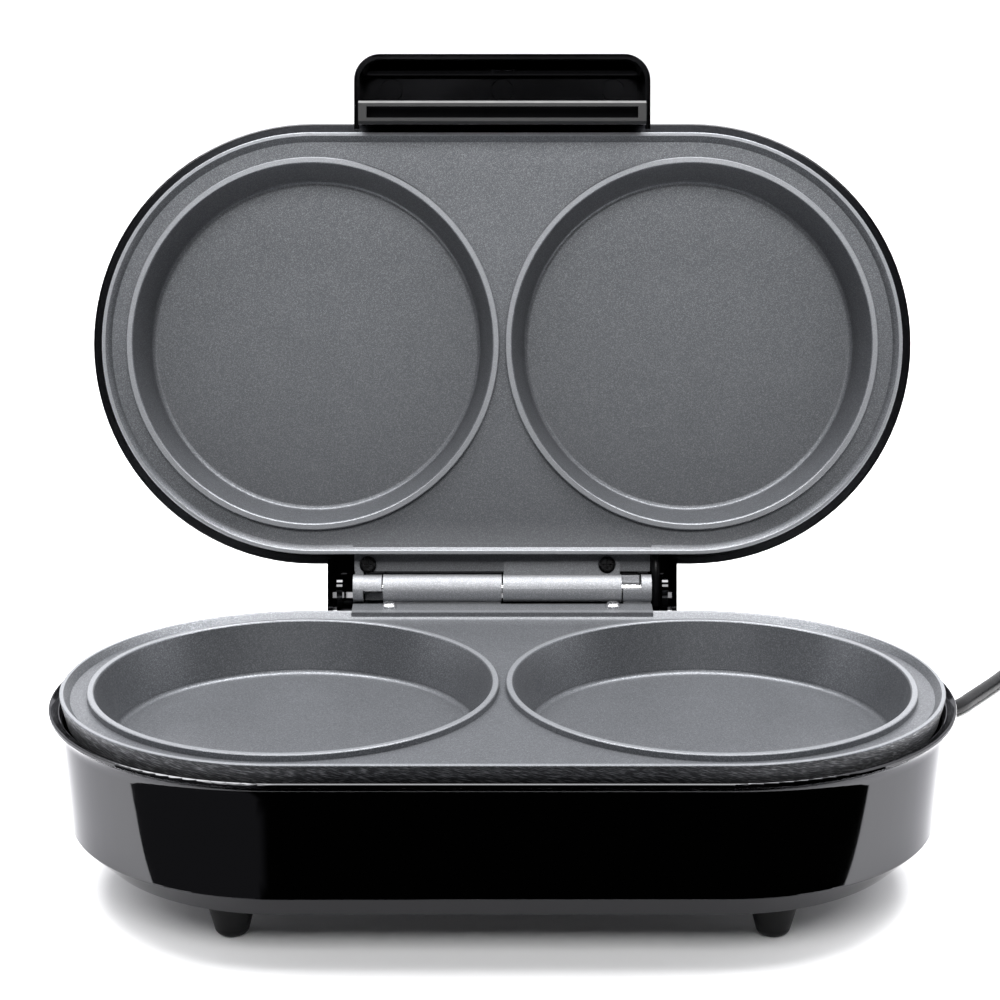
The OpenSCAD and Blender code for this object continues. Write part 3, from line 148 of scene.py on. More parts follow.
def cells(mat, at, scale):
    return add(mat, "ShaderNodeTexVoronoi", {"Vector": at, "Scale": scale}).outputs

def spread(mat, value, low, high, out_low=0.0, out_high=1.0):
    return add(mat, "ShaderNodeMapRange", {"Value": value, "From Min": low, "From Max": high,
               "To Min": out_low, "To Max": out_high}).outputs["Result"]

def blended(mat, amount, first, second):
    mix = add(mat, "ShaderNodeMix", data_type="RGBA")
    for index, value in ((0, amount), (6, first), (7, second)):
        set_or_link(mat, mix.inputs[index], (*value, 1) if isinstance(value, tuple) else value)
    return mix.outputs[2]

def math_of(mat, work, *values):
    node = add(mat, "ShaderNodeMath", operation=work)
    for socket, value in zip(node.inputs, values):
        set_or_link(mat, socket, value)
    return node.outputs[0]

def distance(mat, across, along):
    squares = [math_of(mat, "MULTIPLY", part, part) for part in (across, along)]
    return math_of(mat, "SQRT", math_of(mat, "ADD", *squares))

def between(mat, value, low, high):
    above = math_of(mat, "GREATER_THAN", value, low)
    return math_of(mat, "MULTIPLY", above, math_of(mat, "LESS_THAN", value, high))

def bump(mat, shader, height, strength, depth):
    node = add(mat, "ShaderNodeBump", {"Height": height, "Strength": strength, "Distance": depth})
    feed(mat, node.outputs["Normal"], shader, "Normal")

print("helpers ready")

# %% [markdown]
# ## Floor and light
# A product like this is photographed on a white sheet under large soft boxes, lit until the
# sheet burns out to pure white. Gloss black shows little but what it mirrors, so what lies
# round it matters as much as the lamps. The room is bright at the sides and the back and
# dark towards the camera. The sheet near the camera isn't seen in mirrors, as if a black
# card lay there: so the long front stays deep black, and the round ends pick up bright
# bands. The line where the card starts gives these bands their crisp slanting edges.

# %% Floor
CARD_Y = -0.0855 + BASE_Y
CARD_TURN = math.radians(-1.05)
UNDER_FEET = -0.0002
SHEET_W, SHEET_BACK, SHEET_FRONT = 14, 9, 4

def sheet_of_floor(name, front, back):
    bpy.ops.mesh.primitive_plane_add(size=1, location=(0, (front + back) / 2, UNDER_FEET))
    sheet = bpy.context.active_object
    sheet.name = name
    sheet.scale = (SHEET_W, back - front, 1)
    bpy.ops.object.transform_apply(location=True, rotation=True, scale=True)
    bpy.ops.transform.rotate(value=-CARD_TURN, orient_axis="Z", center_override=(0, CARD_Y, 0))
    bpy.ops.object.transform_apply(location=True, rotation=True, scale=True)
    sheet.data.materials.append(pale)
    bpy.ops.object.select_all(action="DESELECT")
    print(name, "corners:", [[round(c, 3) for c in v.co] for v in sheet.data.vertices])
    return sheet

pale, shader = start("pale_paper", 0.6, specular=0.2)
paper_grain = noise(pale, place_of(pale), 60.0)
feed(pale, blended(pale, paper_grain, (0.90, 0.90, 0.905), (0.925, 0.925, 0.93)), shader, "Base Color")
floor = sheet_of_floor("floor", CARD_Y, CARD_Y + SHEET_BACK)
near_floor = sheet_of_floor("near_floor", CARD_Y - SHEET_FRONT, CARD_Y)
near_floor.visible_glossy = False

# %% [markdown]
# The room is a world of directions. Towards the camera it is dark, with a faint glow on the
# left that the front of the base mirrors, and everywhere else it is white.

# %% Room light
DARK_UP_TO, WHITE_FROM = -0.24, -0.17
GLOW_FROM, GLOW_FULL = -0.19, -0.23
DARK, GLOW, WHITE = (0.003, 0.003, 0.003), (0.06, 0.06, 0.066), (1.0, 1.0, 1.03)
ROOM_STRENGTH = 1.9

room = bpy.data.worlds.new("studio")
bpy.context.scene.world = room
room.use_nodes = True
way = parts_of(room, add(room, "ShaderNodeTexCoord").outputs["Generated"])
below = math_of(room, "MINIMUM", way["Z"], 0.0)
facing = math_of(room, "MULTIPLY_ADD", below, 0.5, way["Y"])
front = blended(room, spread(room, way["X"], GLOW_FROM, GLOW_FULL), DARK, GLOW)
background = room.node_tree.nodes["Background"]
feed(room, blended(room, spread(room, facing, DARK_UP_TO, WHITE_FROM), front, WHITE), background, "Color")
background.inputs["Strength"].default_value = ROOM_STRENGTH

def soft_box(name, place, aim, size, power):
    data = bpy.data.lights.new(name, "AREA")
    data.shape = "RECTANGLE"
    data.size, data.size_y = size
    data.energy = power
    lamp = bpy.data.objects.new(name, data)
    bpy.context.scene.collection.objects.link(lamp)
    lamp.location = place
    lamp.rotation_euler = (Vector(aim) - Vector(place)).to_track_quat("-Z", "Y").to_euler()
    return lamp

soft_box("over", (0, 0.15, 1.5), (0, 0, 0.1), (1.8, 1.0), 74)
soft_box("front_fill", (0, -1.5, 1.5), (0, 0.05, 0.12), (1.6, 0.8), 34)

# %% [markdown]
# ## The mains lead
# The lead is a round rubber cable, 6.6 mm thick. It leaves a ribbed boot low on the back,
# drops to the table, wanders off to the right, and its spare length lies in a small coil
# outside the picture, with the plug beside it. A curve is the natural tool: its line is the
# cable's centre, and its bevel gives the thickness. The listed points are the same as
# the solids', so the soft lead lies where the rigid one did. The coil is worked out: it
# spirals inwards, climbs over itself in half a turn, and spirals out again on top.

# %% Lead: points of its line
CORD_R = 0.0033
BOOT_END = 132.977
ground = CORD_R * 1000
cord_d = 2 * ground
free_run = [(52, BOOT_END, 34), (52, BOOT_END + 6, 34), (53, BOOT_END + 17, 32),
    (56, BOOT_END + 29, 27), (62, 172.5, 19.5), (71, 181.5, 11.5), (82.5, 187.5, 5.6),
    (96, 190.5, ground), (110.5, 190, ground), (124.5, 185, ground), (137.5, 177, ground),
    (150.5, 168.5, ground), (164, 162.5, ground), (177.5, 161, ground), (189.5, 164.5, ground),
    (199.5, 172.5, ground), (208, 184, ground), (216, 195.5, ground), (224, 207.2, ground),
    (231, 218.5, ground), (237.6, 230, ground), (244, 241, ground), (250, 250.5, ground)]

COIL_X = 290
COIL_Y = 235
COIL_R = 39.5
COIL_PITCH = 8.6
COIL_START = 130
COIL_TURN = 850
CLIMB_TURN = 180
FLAT_TURN = (COIL_TURN - CLIMB_TURN) / 2
UPPER = 3 * ground + 0.5

def coil_point(swept):
    inward = min(swept, FLAT_TURN) if swept < FLAT_TURN + CLIMB_TURN else COIL_TURN - swept
    radius = COIL_R - COIL_PITCH / 360 * inward
    climb = min(max((swept - FLAT_TURN) / CLIMB_TURN, 0), 1)
    height = ground + (UPPER - ground) * climb * climb * (3 - 2 * climb)
    angle = math.radians(COIL_START - swept)
    return (COIL_X + radius * math.cos(angle), COIL_Y + radius * math.sin(angle), height)

def beyond(point, degrees, reach, height):
    angle = math.radians(degrees)
    return (point[0] + math.sin(angle) * reach, point[1] - math.cos(angle) * reach, height)

steps = math.ceil(COIL_TURN / 15)
coil = [coil_point(COIL_TURN * i / steps) for i in range(steps + 1)]
run_in = [beyond(coil[0], COIL_START, -cord_d * back, ground) for back in (1.6, 1.0)]
run_out = [beyond(coil[-1], COIL_START - COIL_TURN, cord_d, UPPER)]
lead_line = free_run + run_in + coil + run_out
print("lead points:", len(lead_line))

# %% [markdown]
# A Bezier spline with automatic handles passes through every point and stays smooth
# between them. Each point carries the wire's radius, and a bevel of one scales it. The same
# helper makes the lead across the hinge and the spring's wire.

# %% Lead: curve
def wire_curve(name, points, radius, sides=6, between_points=4):
    data = bpy.data.curves.new(name, "CURVE")
    data.dimensions = "3D"
    data.bevel_depth = 1.0
    data.bevel_resolution = sides
    data.resolution_u = between_points
    data.use_fill_caps = True
    spline = data.splines.new("BEZIER")
    spline.bezier_points.add(len(points) - 1)
    for point, place in zip(spline.bezier_points, points):
        point.co = place
        point.radius = radius
        point.handle_left_type = point.handle_right_type = "AUTO"
    piece = bpy.data.objects.new(name, data)
    bpy.context.scene.collection.objects.link(piece)
    return piece

lead = wire_curve("mains_lead", [mm(*p) for p in lead_line], CORD_R)
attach(lead, "base")
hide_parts("power_cord", "cord_coil")
print("lead made")

# %% [markdown]
# ## The plug
# A moulded three-pin plug lies on its back at the end of the lead, pins up. The real one is
# a rubber-like block with softened edges, waisted grips and a flat pin face. It starts as a
# box of the right size, cut into a grid by subdivide. Its two ends are drawn in, the middle
# is pinched for the fingers, the underside is a little smaller, and a bevel rounds the edges.

# %% Plug: helpers
def deselect():
    if bpy.context.object and bpy.context.object.mode != "OBJECT":
        bpy.ops.object.mode_set(mode="OBJECT")
    bpy.ops.object.select_all(action="DESELECT")

def make_active(piece):
    piece.select_set(True)
    bpy.context.view_layer.objects.active = piece

def edit_all():
    bpy.ops.object.mode_set(mode="EDIT")
    bpy.ops.mesh.select_all(action="SELECT")

def inset_top(piece, thickness, depth):
    bpy.ops.object.mode_set(mode="EDIT")
    bpy.ops.mesh.select_mode(type="FACE")
    bpy.ops.mesh.select_all(action="DESELECT")
    bpy.ops.object.mode_set(mode="OBJECT")
    for face in piece.data.polygons:
        face.select = face.normal.z > 0.9
    bpy.ops.object.mode_set(mode="EDIT")
    bpy.ops.mesh.inset(thickness=thickness, depth=depth)

def bevelled(piece, width, segments, angle=30):
    bpy.ops.object.mode_set(mode="OBJECT")
    modifier = piece.modifiers.new("bevel", "BEVEL")
    modifier.width = width
    modifier.segments = segments
    modifier.limit_method = "ANGLE"
    modifier.angle_limit = math.radians(angle)
    bpy.ops.object.modifier_apply(modifier=modifier.name)

def settle(piece):
    deselect()
    make_active(piece)
    bpy.ops.object.transform_apply(location=True, rotation=True, scale=True)
    deselect()

def block(name, centre, size):
    deselect()
    bpy.ops.mesh.primitive_cube_add(size=1, location=centre)
    piece = bpy.context.active_object
    piece.name = name
    piece.scale = size
    bpy.ops.object.transform_apply(location=False, rotation=False, scale=True)
    return piece

# %% Plug: body
PLUG_W, PLUG_L, PLUG_T = 0.0475, 0.045, 0.0185
PLUG_LIFT = 0.0095
BOOT_REACH = 0.030
plug_end = mm(*run_out[0])
FACE_Y = plug_end.y - BOOT_REACH
plug = block("moulded_plug", (plug_end.x, FACE_Y - PLUG_L / 2, PLUG_LIFT), (PLUG_W, PLUG_L, PLUG_T))
edit_all()
bpy.ops.mesh.subdivide(number_cuts=3)
bpy.ops.object.mode_set(mode="OBJECT")
for v in plug.data.vertices:
    along = v.co.y / PLUG_L + 0.5
    lead_end = max(along - 0.55, 0) / 0.45
    far_end = max(0.25 - along, 0) / 0.25
    v.co.x *= 1 - 0.36 * lead_end - 0.10 * far_end
    if abs(along - 0.5) < 0.05:
        v.co.x *= 0.955
    if v.co.z < 0:
        v.co.x *= 0.95
        v.co.y *= 0.98
edit_all()
bpy.ops.mesh.normals_make_consistent(inside=False)
bevelled(plug, 0.0032, 4, 40)
settle(plug)
make_active(plug)
bpy.ops.object.shade_smooth_by_angle(angle=math.radians(50))
deselect()
print("plug faces:", len(plug.data.polygons))

# %% [markdown]
# The boot of the plug is a cone of soft rings that lets the lead bend. One ring profile is
# spun about the lead's line. A spin is the natural way for anything turned or ringed.

# %% Plug: ringed boot
def turned(name, profile, centre, axis, steps=48):
    deselect()
    mesh = bpy.data.meshes.new(name)
    joined = [(i, i + 1) for i in range(len(profile) - 1)]
    mesh.from_pydata([(r, 0, h) for r, h in profile], joined, [])
    piece = bpy.data.objects.new(name, mesh)
    bpy.context.scene.collection.objects.link(piece)
    make_active(piece)
    edit_all()
    bpy.ops.mesh.spin(steps=steps, angle=math.tau, center=(0, 0, 0), axis=(0, 0, 1))
    bpy.ops.mesh.select_all(action="SELECT")
    bpy.ops.mesh.remove_doubles(threshold=1e-6)
    bpy.ops.mesh.normals_make_consistent(inside=False)
    bpy.ops.object.mode_set(mode="OBJECT")
    lean = Vector((0, 0, 1)).rotation_difference(Vector(axis)).to_matrix().to_4x4()
    piece.matrix_world = Matrix.Translation(centre) @ lean
    bpy.ops.object.transform_apply(location=True, rotation=True, scale=True)
    bpy.ops.object.shade_smooth_by_angle(angle=math.radians(35))
    return piece

rings = [(0.0, 0.0005), (0.0039, 0.0005)]
for i in range(6):
    z = 0.0035 + 0.0045 * i
    r = 0.0046 + 0.00045 * i
    rings += [(r - 0.0006, z), (r, z + 0.0006), (r, z + 0.0022), (r - 0.0006, z + 0.0028)]
rings += [(0.0068, 0.0305), (0.0068, 0.0325), (0.0, 0.0325)]
boot = turned("plug_boot", rings, plug_end, (0, -1, 0))
print("boot faces:", len(boot.data.polygons))

# %% [markdown]
# On the pin face a real plug has a small fuse door, and black sleeves on the two flat pins.
# Both are thin raised forms: each is a box whose top is inset, and whose edges are bevelled.
# The door's top is lowered too, so that a rim stands round it.

# %% Plug: fuse door and pin sleeves
PIN_X = 0.0111
door = block("fuse_door", (plug_end.x, FACE_Y - 0.021, 0.0189), (0.0085, 0.0105, 0.0009))
inset_top(door, 0.0011, -0.0002)
bevelled(door, 0.0002, 2)
settle(door)

sleeves = []
for side, x in (("left", -PIN_X), ("right", PIN_X)):
    sleeve = block("pin_sleeve_" + side, (plug_end.x + x, FACE_Y - 0.014, 0.0235), (0.0067, 0.0044, 0.0092))
    inset_top(sleeve, 0.0003, 0.0)
    bevelled(sleeve, 0.0004, 2)
    settle(sleeve)
    sleeves.append(sleeve)
print("plug extras:", door.name, [s.name for s in sleeves])

# %% Plug: riding
for piece in [plug, boot, door] + sleeves:
    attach(piece, "base")
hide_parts("plug_body")

# %% [markdown]
# ## The lead across the hinge
# The lid's wiring crosses the hinge in one thin sleeved lead at the right end of the
# barrel. It bends when the lid moves. It is drawn as it lies with the lid open and turned
# into a mesh.

# %% Hinge lead
LEAD_X = 61.8
BLOCK_Z = 110.1
HINGE_LEAD_R = 0.0018
low_part = [mm(*p) for p in ((62, 62, 36), (62, 66, 36), (LEAD_X, 76, 39), (LEAD_X, 88, 46),
    (LEAD_X, 97, 56), (LEAD_X, 101, 65), (LEAD_X, 101, 73), (LEAD_X, 101, 80.9))]
high_part = [opened(*p) for p in ((LEAD_X, 87.5, 84.5), (LEAD_X, 81.5, 88.5), (LEAD_X - 0.1, 77, 91.5),
    (LEAD_X - 1, 74.6, 96), (LEAD_X - 2.5, 73.8, 103), (57.5, 73, 110.5), (55, 70, BLOCK_Z + 5),
    (50, 64, BLOCK_Z + 4.3), (48, 61, BLOCK_Z + 4), (48, 58, BLOCK_Z + 4))]

def as_mesh(piece):
    deselect()
    make_active(piece)
    bpy.ops.object.convert(target="MESH")
    bpy.ops.object.shade_smooth()
    made = bpy.context.active_object
    deselect()
    return made

crossing = as_mesh(wire_curve("hinge_crossing_lead", low_part + high_part, HINGE_LEAD_R, sides=3))
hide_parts("hinge_lead")
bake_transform(crossing)
print("crossing lead:", len(crossing.data.polygons), "faces")

# %% [markdown]
# ## The latch's spring
# A torsion spring sits on the latch's pin in the middle of the handle. One leg rests on the
# handle's roof and the other on the bar, and it keeps the hook under the base's rim. Its
# wire is a helix, so it is a curve too. When the bar swings, the leg on the bar goes along
# and the coil winds up a little.

# %% Latch spring
SPRING_Y, SPRING_Z = -91.9, 94.1
SPRING_R = 3.45
SPRING_HALF = 4
WIRE_R = 0.4
WINDS = 9
PER_WIND = 12
LEG_Y = SPRING_Y - SPRING_R

def leg(x, heights):
    return [(x, LEG_Y, z) for z in heights]

spring_line = leg(SPRING_HALF, (100.2, 98.2, 96.2, SPRING_Z))
for i in range(1, WINDS * PER_WIND):
    angle = math.radians(180 - i * 360 / PER_WIND)
    spring_line.append((SPRING_HALF * (1 - 2 * i / (WINDS * PER_WIND)),
                        SPRING_Y + SPRING_R * math.cos(angle), SPRING_Z + SPRING_R * math.sin(angle)))
spring_line += leg(-SPRING_HALF, (SPRING_Z, 91, 88, 85.1))
spring_path = [opened(*p) for p in spring_line]
spring = as_mesh(wire_curve("spring_wire", spring_path, WIRE_R / 1000, sides=2, between_points=2))
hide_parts("latch_spring")
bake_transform(spring)
print("spring:", len(spring.data.polygons), "faces")

# %% [markdown]
# ## Moulding marks in the handle
# The handle is hollow and open towards the plates. On its roof the mould's ejector pins
# left three faint round marks. Each is a hair-thin raised ring, where plastic crept in
# round the pin. It is spun from its small section and sits with its foot in the roof.

# %% Ejector marks
HANDLE_ROOF = 100.5
MARK_Y = -104.6
MARK_X = 45.3
PIN_R = 0.0045
RIDGE_H = 0.00012
FOOT_HALF, FOOT_DEPTH = 0.00014, 0.0003
section = [(-FOOT_HALF, -FOOT_DEPTH), (-RIDGE_H, RIDGE_H / 3), (0, RIDGE_H),
           (RIDGE_H, RIDGE_H / 3), (FOOT_HALF, -FOOT_DEPTH), (-FOOT_HALF, -FOOT_DEPTH)]
witness = [(PIN_R + out, height) for out, height in section]
out_of_roof = LID_TURN.to_3x3() @ Vector((0, 0, -1))
marks = []
for i, x in enumerate((-MARK_X, 0, MARK_X)):
    mark = turned(f"ejector_mark_{i + 1}", witness, opened(x, MARK_Y, HANDLE_ROOF), out_of_roof, 40)
    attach(mark, "lid")
    deselect()
    marks.append(mark)
print("marks:", [m.name for m in marks])

# %% [markdown]
# ## Gloss black shells
# High-gloss moulded plastic isn't perfectly flat. A faint orange peel ripples its
# reflections, fine dust and wiping leave it slightly uneven in roughness, and the black
# leans a little blue. The ripple must stay weak, or the crisp bands on the ends break up.
# All its brightness is mirrored light, so the shader runs as a very dark mirror: the base
# colour says how much it mirrors head on, and the tint tames the flare at grazing angles,
# which a plain plastic shader lets burn out to white against the sheet.
# Inside the handle the mould wasn't polished, and the wall is a little duller there. Its
# colour is also made darker there: painted shade inside the handle. A mask finds the inside:
# the Object coordinates are turned about the hinge to the closed lid, where the inside is a plain box.

# %% Gloss shell
HOLLOW_X = (-0.0583, 0.0583)
HOLLOW_Y = (-0.1151 + BASE_Y, -0.0865 + BASE_Y)
HOLLOW_Z = (0.0816, 0.1014)

def lid_closed(mat, at):
    return add(mat, "ShaderNodeVectorRotate", {"Vector": at, "Center": tuple(HINGE), "Angle": OPEN},
               rotation_type="X_AXIS").outputs[0]

def in_lid_box(mat, at, *limits):
    place = parts_of(mat, lid_closed(mat, at))
    in_x, in_y, in_z = (between(mat, place[axis], *pair) for axis, pair in zip("XYZ", limits))
    return math_of(mat, "MULTIPLY", math_of(mat, "MULTIPLY", in_x, in_y), in_z)

gloss, shader = start("gloss_shell", 0.05, metallic=1.0)
shader.inputs["Specular Tint"].default_value = (0.65, 0.65, 0.66, 1)
at = place_of(gloss)
hollow_shade_and_dull = in_lid_box(gloss, at, HOLLOW_X, HOLLOW_Y, HOLLOW_Z)
wipe = spread(gloss, noise(gloss, at, 18.0, 5.0, 0.65), 0.3, 0.75, 0.035, 0.085)
speck = spread(gloss, cells(gloss, at, 900.0)["Distance"], 0.05, 0.09, 1.0, 0.0)
black = blended(gloss, speck, (0.052, 0.052, 0.054), (0.058, 0.058, 0.060))
# Painted shade: the wall inside the handle gets a darker base colour.
feed(gloss, blended(gloss, hollow_shade_and_dull, black, (0.020, 0.020, 0.022)), shader, "Base Color")
feed(gloss, math_of(gloss, "ADD", wipe, math_of(gloss, "MULTIPLY", hollow_shade_and_dull, 0.05)), shader, "Roughness")
bump(gloss, shader, noise(gloss, at, 260.0, 1.0), 0.012, 0.00012)
print("finish:", gloss.name)

# %% [markdown]
# ## Non-stick coating
# The plates carry a dark grey non-stick coat with aluminium flakes in it. Up close it is a
# fine sparkle on a slightly rough ground: tiny cells, each with its own brightness, over a
# soft mottling. Round the hinge the coat is painted lighter, and the barrel lighter still:
# painted light. The lower plate's outer wall was trimmed after casting: short slanting
# strokes are left in it. That wall is also painted dark along the front and paler towards
# the round ends: painted shade at the front, painted light on the ends. Along the crests of
# the rounds' beads and of the outer lip, where the two plates meet, a thin lighter line is a
# painted highlight. Masks on the Object coordinates choose these places, so one recipe serves
# both plates; the upper plate is first turned to where it lies on a closed lid.

# %% Coating: where
BEAD_BAND = (0.0722, 0.0743)
LIP_BAND = (0.0827, 0.0840)
CREST_REACH = 0.0005

def from_well(mat, place):
    aside = math_of(mat, "SUBTRACT", math_of(mat, "ABSOLUTE", place["X"]), WELL_X)
    return aside, math_of(mat, "SUBTRACT", place["Y"], BASE_Y)

def from_middle(mat, place):
    aside, back = from_well(mat, place)
    return distance(mat, math_of(mat, "MAXIMUM", aside, 0.0), back)

def crest_highlights(mat, at, level):
    place = parts_of(mat, at)
    on_top = between(mat, place["Z"], level - CREST_REACH, level + CREST_REACH)
    on_lip = between(mat, from_middle(mat, place), *LIP_BAND)
    on_bead = between(mat, distance(mat, *from_well(mat, place)), *BEAD_BAND)
    return math_of(mat, "MULTIPLY", on_top, math_of(mat, "MAXIMUM", on_lip, on_bead))

def from_hinge(mat, place):
    rise = math_of(mat, "SUBTRACT", place["Z"], HINGE.z)
    return distance(mat, rise, math_of(mat, "SUBTRACT", place["Y"], HINGE.y))

def trimmed_wall(mat, place):
    outside = spread(mat, from_middle(mat, place), 0.0821, 0.0823)
    under_lip = spread(mat, place["Z"], LIP - 0.0004, LIP - 0.0008)
    return math_of(mat, "MULTIPLY", outside, under_lip)

def trimmed_color(mat, at, place):
    tilted = mapped(mat, at, rotation=(0.0, math.radians(-13), 0.0))
    strokes = noise(mat, mapped(mat, tilted, scale=(300.0, 300.0, 4200.0)), 1.0, 2.0)
    # Painted shade along the front of the wall and painted light towards the round ends; the strokes are
    # real.
    ends_painted_light = spread(mat, math_of(mat, "ABSOLUTE", place["X"]), 0.055, 0.13)
    ground = blended(mat, ends_painted_light, (0.030, 0.031, 0.034), (0.13, 0.132, 0.138))
    scratch = blended(mat, ends_painted_light, (0.24, 0.245, 0.26), (0.62, 0.63, 0.65))
    return blended(mat, spread(mat, strokes, 0.50, 0.72), ground, scratch)

# %% Coating: recipe
def coating(name, trimmed):
    mat, shader = start(name, 0.38, metallic=0.65)
    at = place_of(mat)
    place = parts_of(mat, at)
    bright = add(mat, "ShaderNodeSeparateColor", {"Color": cells(mat, at, 4200.0)["Color"]}).outputs[0]
    flecks = spread(mat, bright, 0.55, 1.0, 0.0, 0.42)
    ground = blended(mat, noise(mat, at, 90.0, 4.0), (0.072, 0.0755, 0.082), (0.092, 0.096, 0.104))
    color = blended(mat, flecks, ground, (0.30, 0.31, 0.33))
    off_axis = from_hinge(mat, place)
    near_hinge = spread(mat, off_axis, 0.0075, 0.0062)
    # Painted light: near the hinge the coat is painted lighter, and the barrel lighter still.
    hinge_painted_light = spread(mat, off_axis, 0.027, 0.016, 0.0, 0.7)
    hinge_light_color = blended(mat, flecks, (0.17, 0.175, 0.185), (0.40, 0.41, 0.43))
    barrel_light_color = blended(mat, flecks, (0.25, 0.255, 0.268), (0.54, 0.55, 0.57))
    color = blended(mat, hinge_painted_light, color, hinge_light_color)
    color = blended(mat, near_hinge, color, barrel_light_color)
    crest_highlight = crest_highlights(mat, at, LIP) if trimmed else crest_highlights(mat, lid_closed(mat, at), LID_LIP)
    # Painted highlight: a thin lighter line along the crests of the beads and the lip.
    color = blended(mat, math_of(mat, "MULTIPLY", crest_highlight, 0.38), color, (0.38, 0.39, 0.41))
    roughness = spread(mat, bright, 0.0, 1.0, 0.46, 0.34)
    roughness = math_of(mat, "ADD", roughness, math_of(mat, "MULTIPLY", near_hinge, 0.24))
    if trimmed:
        wall = trimmed_wall(mat, place)
        color = blended(mat, wall, color, trimmed_color(mat, at, place))
        roughness = math_of(mat, "ADD", roughness, math_of(mat, "MULTIPLY", wall, 0.08))
        feed(mat, spread(mat, wall, 0.0, 1.0, 0.65, 0.8), shader, "Metallic")
    feed(mat, color, shader, "Base Color")
    feed(mat, roughness, shader, "Roughness")
    bump(mat, shader, noise(mat, at, 1500.0, 2.0), 0.25, 0.00008)
    return mat

coated_lower = coating("coated_lower", trimmed=True)
coated_upper = coating("coated_upper", trimmed=False)
print("finish:", coated_lower.name, coated_upper.name)

# %% [markdown]
# ## Satin plastics and rubber
# The latch bar, the feet and the lead are black too, but satin: they were moulded against a
# finely etched tool. One recipe with different numbers gives them all: a slight change of
# colour, a slight change of roughness, and a fine grain in the bump. Each row holds the dark
# and the light colour, the roughness, how fine the grain is and how deep in micrometres.

# %% Satin finishes
SATIN = {
    "latch_plastic": ((0.004, 0.004, 0.0045), (0.008, 0.008, 0.0085), 0.34, 900, 60),
    "foot_plastic": ((0.002, 0.002, 0.0022), (0.005, 0.005, 0.0055), 0.42, 900, 60),
    "cord_rubber": ((0.003, 0.003, 0.0034), (0.007, 0.007, 0.0076), 0.3, 700, 80),
    "clamp_plastic": ((0.03, 0.03, 0.03), (0.05, 0.05, 0.05), 0.45, 800, 50),
    "holder_plastic": ((0.70, 0.70, 0.68), (0.78, 0.78, 0.76), 0.5, 800, 50),
    "terminal_ceramic": ((0.70, 0.67, 0.58), (0.80, 0.77, 0.69), 0.42, 500, 60),
    "thermostat_body": ((0.13, 0.055, 0.03), (0.20, 0.09, 0.05), 0.4, 600, 60),
    "wire_brown": ((0.12, 0.05, 0.025), (0.16, 0.07, 0.035), 0.4, 700, 40),
    "wire_blue": ((0.02, 0.08, 0.34), (0.04, 0.12, 0.42), 0.4, 700, 40),
    "wire_grey": ((0.36, 0.36, 0.36), (0.44, 0.44, 0.44), 0.4, 700, 40),
    "black_screw": ((0.02, 0.02, 0.021), (0.07, 0.07, 0.073), 0.28, 1500, 30),
}
SHEEN = {"latch_plastic": 0.38, "foot_plastic": 0.18, "cord_rubber": 0.12}
METALLIC = {"black_screw": 0.9}

def satin(name, dark, light, roughness, grain, microns):
    mat, shader = start(name, roughness, METALLIC.get(name, 0.0), SHEEN.get(name, 0.5))
    at = place_of(mat)
    feed(mat, blended(mat, noise(mat, at, grain * 0.12, 4.0), dark, light), shader, "Base Color")
    uneven = spread(mat, noise(mat, at, grain * 0.3), 0.3, 0.7, roughness - 0.06, roughness + 0.06)
    feed(mat, uneven, shader, "Roughness")
    bump(mat, shader, noise(mat, at, grain), 0.3, microns / 1e6)
    return mat

finishes = {name: satin(name, *row) for name, row in SATIN.items()}
finishes["gloss_shell"] = gloss
print("satin finishes:", len(SATIN))

# %% [markdown]
# The slot in the latch's hook is a deep, narrow core. Hardly any light comes out of it
# again, so its walls get no sheen. A mask on the closed-lid place picks them out.

# %% Latch slot
SLOT_X = (-0.05365, 0.05365)
SLOT_Y = (-0.0928 + BASE_Y, -0.0879 + BASE_Y)
SLOT_Z = (0.0638, 0.0692)

bar = finishes["latch_plastic"]
in_slot = in_lid_box(bar, place_of(bar), SLOT_X, SLOT_Y, SLOT_Z)
sheen = spread(bar, in_slot, 0.0, 1.0, SHEEN["latch_plastic"], 0.0)
feed(bar, sheen, bar.node_tree.nodes["Principled BSDF"], "Specular IOR Level")
print("slot darkened in", bar.name)

# %% [markdown]
# The earth wire is green with a yellow stripe that winds round it. A wave pattern along the
# wire gives bands of the second colour without any picture.

# %% Earth wire
earth, shader = start("wire_green", 0.4)
bands = add(earth, "ShaderNodeTexWave", {"Vector": place_of(earth), "Scale": 60.0, "Distortion": 0.0},
            bands_direction="DIAGONAL").outputs["Fac"]
stripe = spread(earth, bands, 0.6, 0.66)
feed(earth, blended(earth, stripe, (0.05, 0.22, 0.04), (0.75, 0.62, 0.04)), shader, "Base Color")
finishes["wire_green"] = earth
print("finish:", earth.name)

# %% [markdown]
# ## Metals
# Plated screws, the hinge pin and the spring are bright and lightly brushed. The element's
# sheath has been hot, so it is duller and tinted. The shields are plain rolled sheet. The
# brushing is a noise stretched along one direction with a Mapping node. Each row holds the
# dark and the light colour, the roughness and the stretch.

# %% Metals
METALS = {
    "bright_steel": ((0.50, 0.50, 0.51), (0.68, 0.68, 0.69), 0.26, (300.0, 2400.0, 2400.0)),
    "element_sheath": ((0.26, 0.24, 0.21), (0.44, 0.41, 0.38), 0.5, (200.0, 900.0, 900.0)),
    "shield_sheet": ((0.62, 0.62, 0.63), (0.78, 0.78, 0.79), 0.3, (60.0, 1400.0, 1400.0)),
    "brass_part": ((0.52, 0.38, 0.16), (0.70, 0.53, 0.26), 0.28, (900.0, 900.0, 300.0)),
}

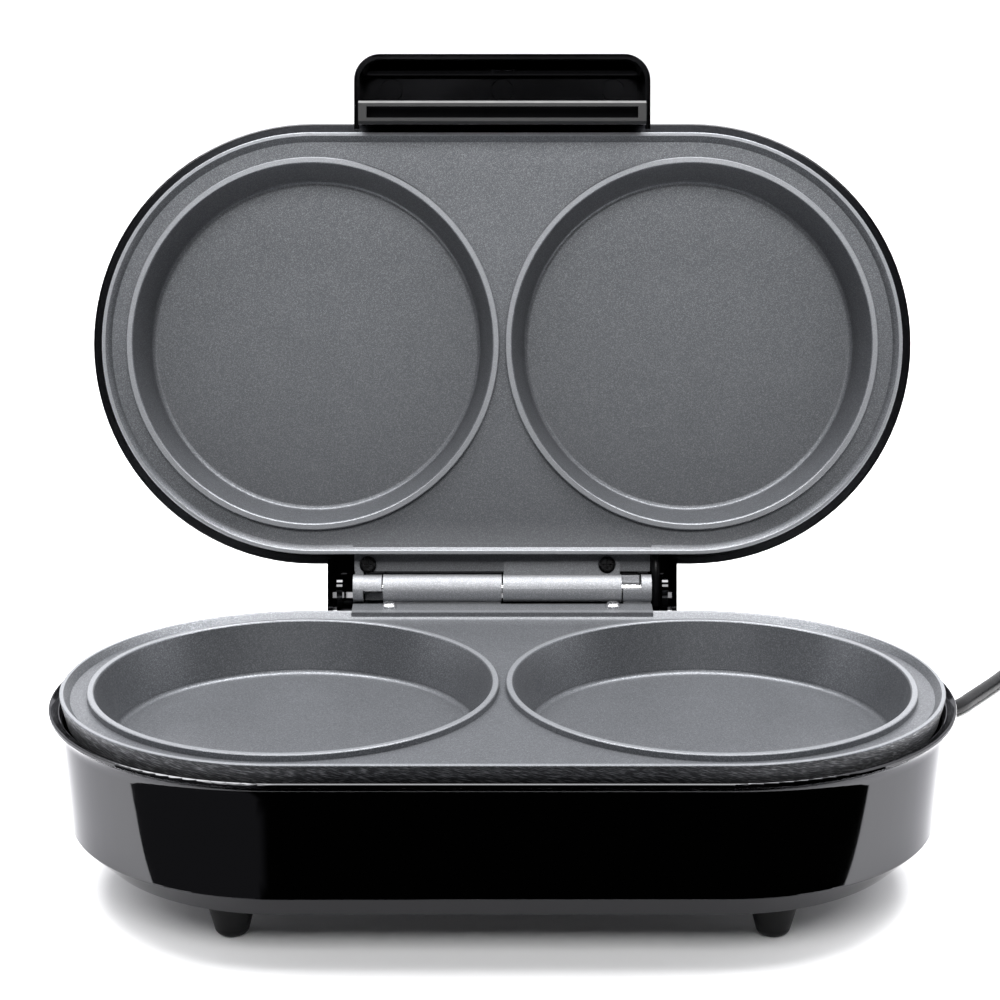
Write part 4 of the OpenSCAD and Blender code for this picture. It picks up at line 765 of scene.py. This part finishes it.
def brushed(name, dark, light, roughness, stretch):
    mat, shader = start(name, roughness, metallic=1.0)
    grain = noise(mat, mapped(mat, place_of(mat), scale=stretch), 1.0, 4.0)
    feed(mat, blended(mat, grain, dark, light), shader, "Base Color")
    feed(mat, spread(mat, grain, 0.3, 0.7, roughness - 0.07, roughness + 0.08), shader, "Roughness")
    bump(mat, shader, grain, 0.15, 0.00004)
    return mat

for name, row in METALS.items():
    finishes[name] = brushed(name, *row)
print("metals:", list(METALS))

# %% [markdown]
# ## Lenses and lamps
# The two indicator lenses in the lid are tinted clear plastic over small lamps. A Principled
# shader with transmission and a slight unevenness is enough at their size. Each row holds a
# light and a deep colour.

# %% Clear tints
TINTS = {
    "lens_red": ((0.60, 0.03, 0.02), (0.45, 0.01, 0.01)),
    "lens_green": ((0.03, 0.45, 0.07), (0.01, 0.33, 0.04)),
    "lamp_glass_red": ((0.90, 0.45, 0.25), (0.80, 0.35, 0.18)),
    "lamp_glass_green": ((0.50, 0.90, 0.50), (0.40, 0.80, 0.40)),
}

def tinted(name, light, deep):
    mat, shader = start(name, 0.12)
    at = place_of(mat)
    shader.inputs["Transmission Weight"].default_value = 0.55
    feed(mat, blended(mat, noise(mat, at, 400.0), deep, light), shader, "Base Color")
    bump(mat, shader, noise(mat, at, 900.0, 1.0), 0.1, 0.00003)
    return mat

for name, row in TINTS.items():
    finishes[name] = tinted(name, *row)
print("clear tints:", list(TINTS))

# %% [markdown]
# ## Dress the solids
# Each solid names its finish in the record. The plates take the coating made for them.

# %% Dress
own = {"lower_plate": coated_lower, "upper_plate": coated_upper}
for row in frame["record"]["subparts"]:
    solid = frame["nodes"][row["node"]]
    solid.data.materials.clear()
    solid.data.materials.append(own.get(row["node"], finishes.get(row["material_slot"])))
for piece in [lead, plug, boot, door, crossing] + sleeves:
    piece.data.materials.append(finishes["cord_rubber"])
for mark in marks:
    mark.data.materials.append(gloss)
spring.data.materials.append(finishes["bright_steel"])

# %% [markdown]
# ## The end
# The view layer is brought up to date.
# New pieces must stay inside the solids' box. The two boxes are written down side by side.

# %% End
bpy.context.view_layer.update()
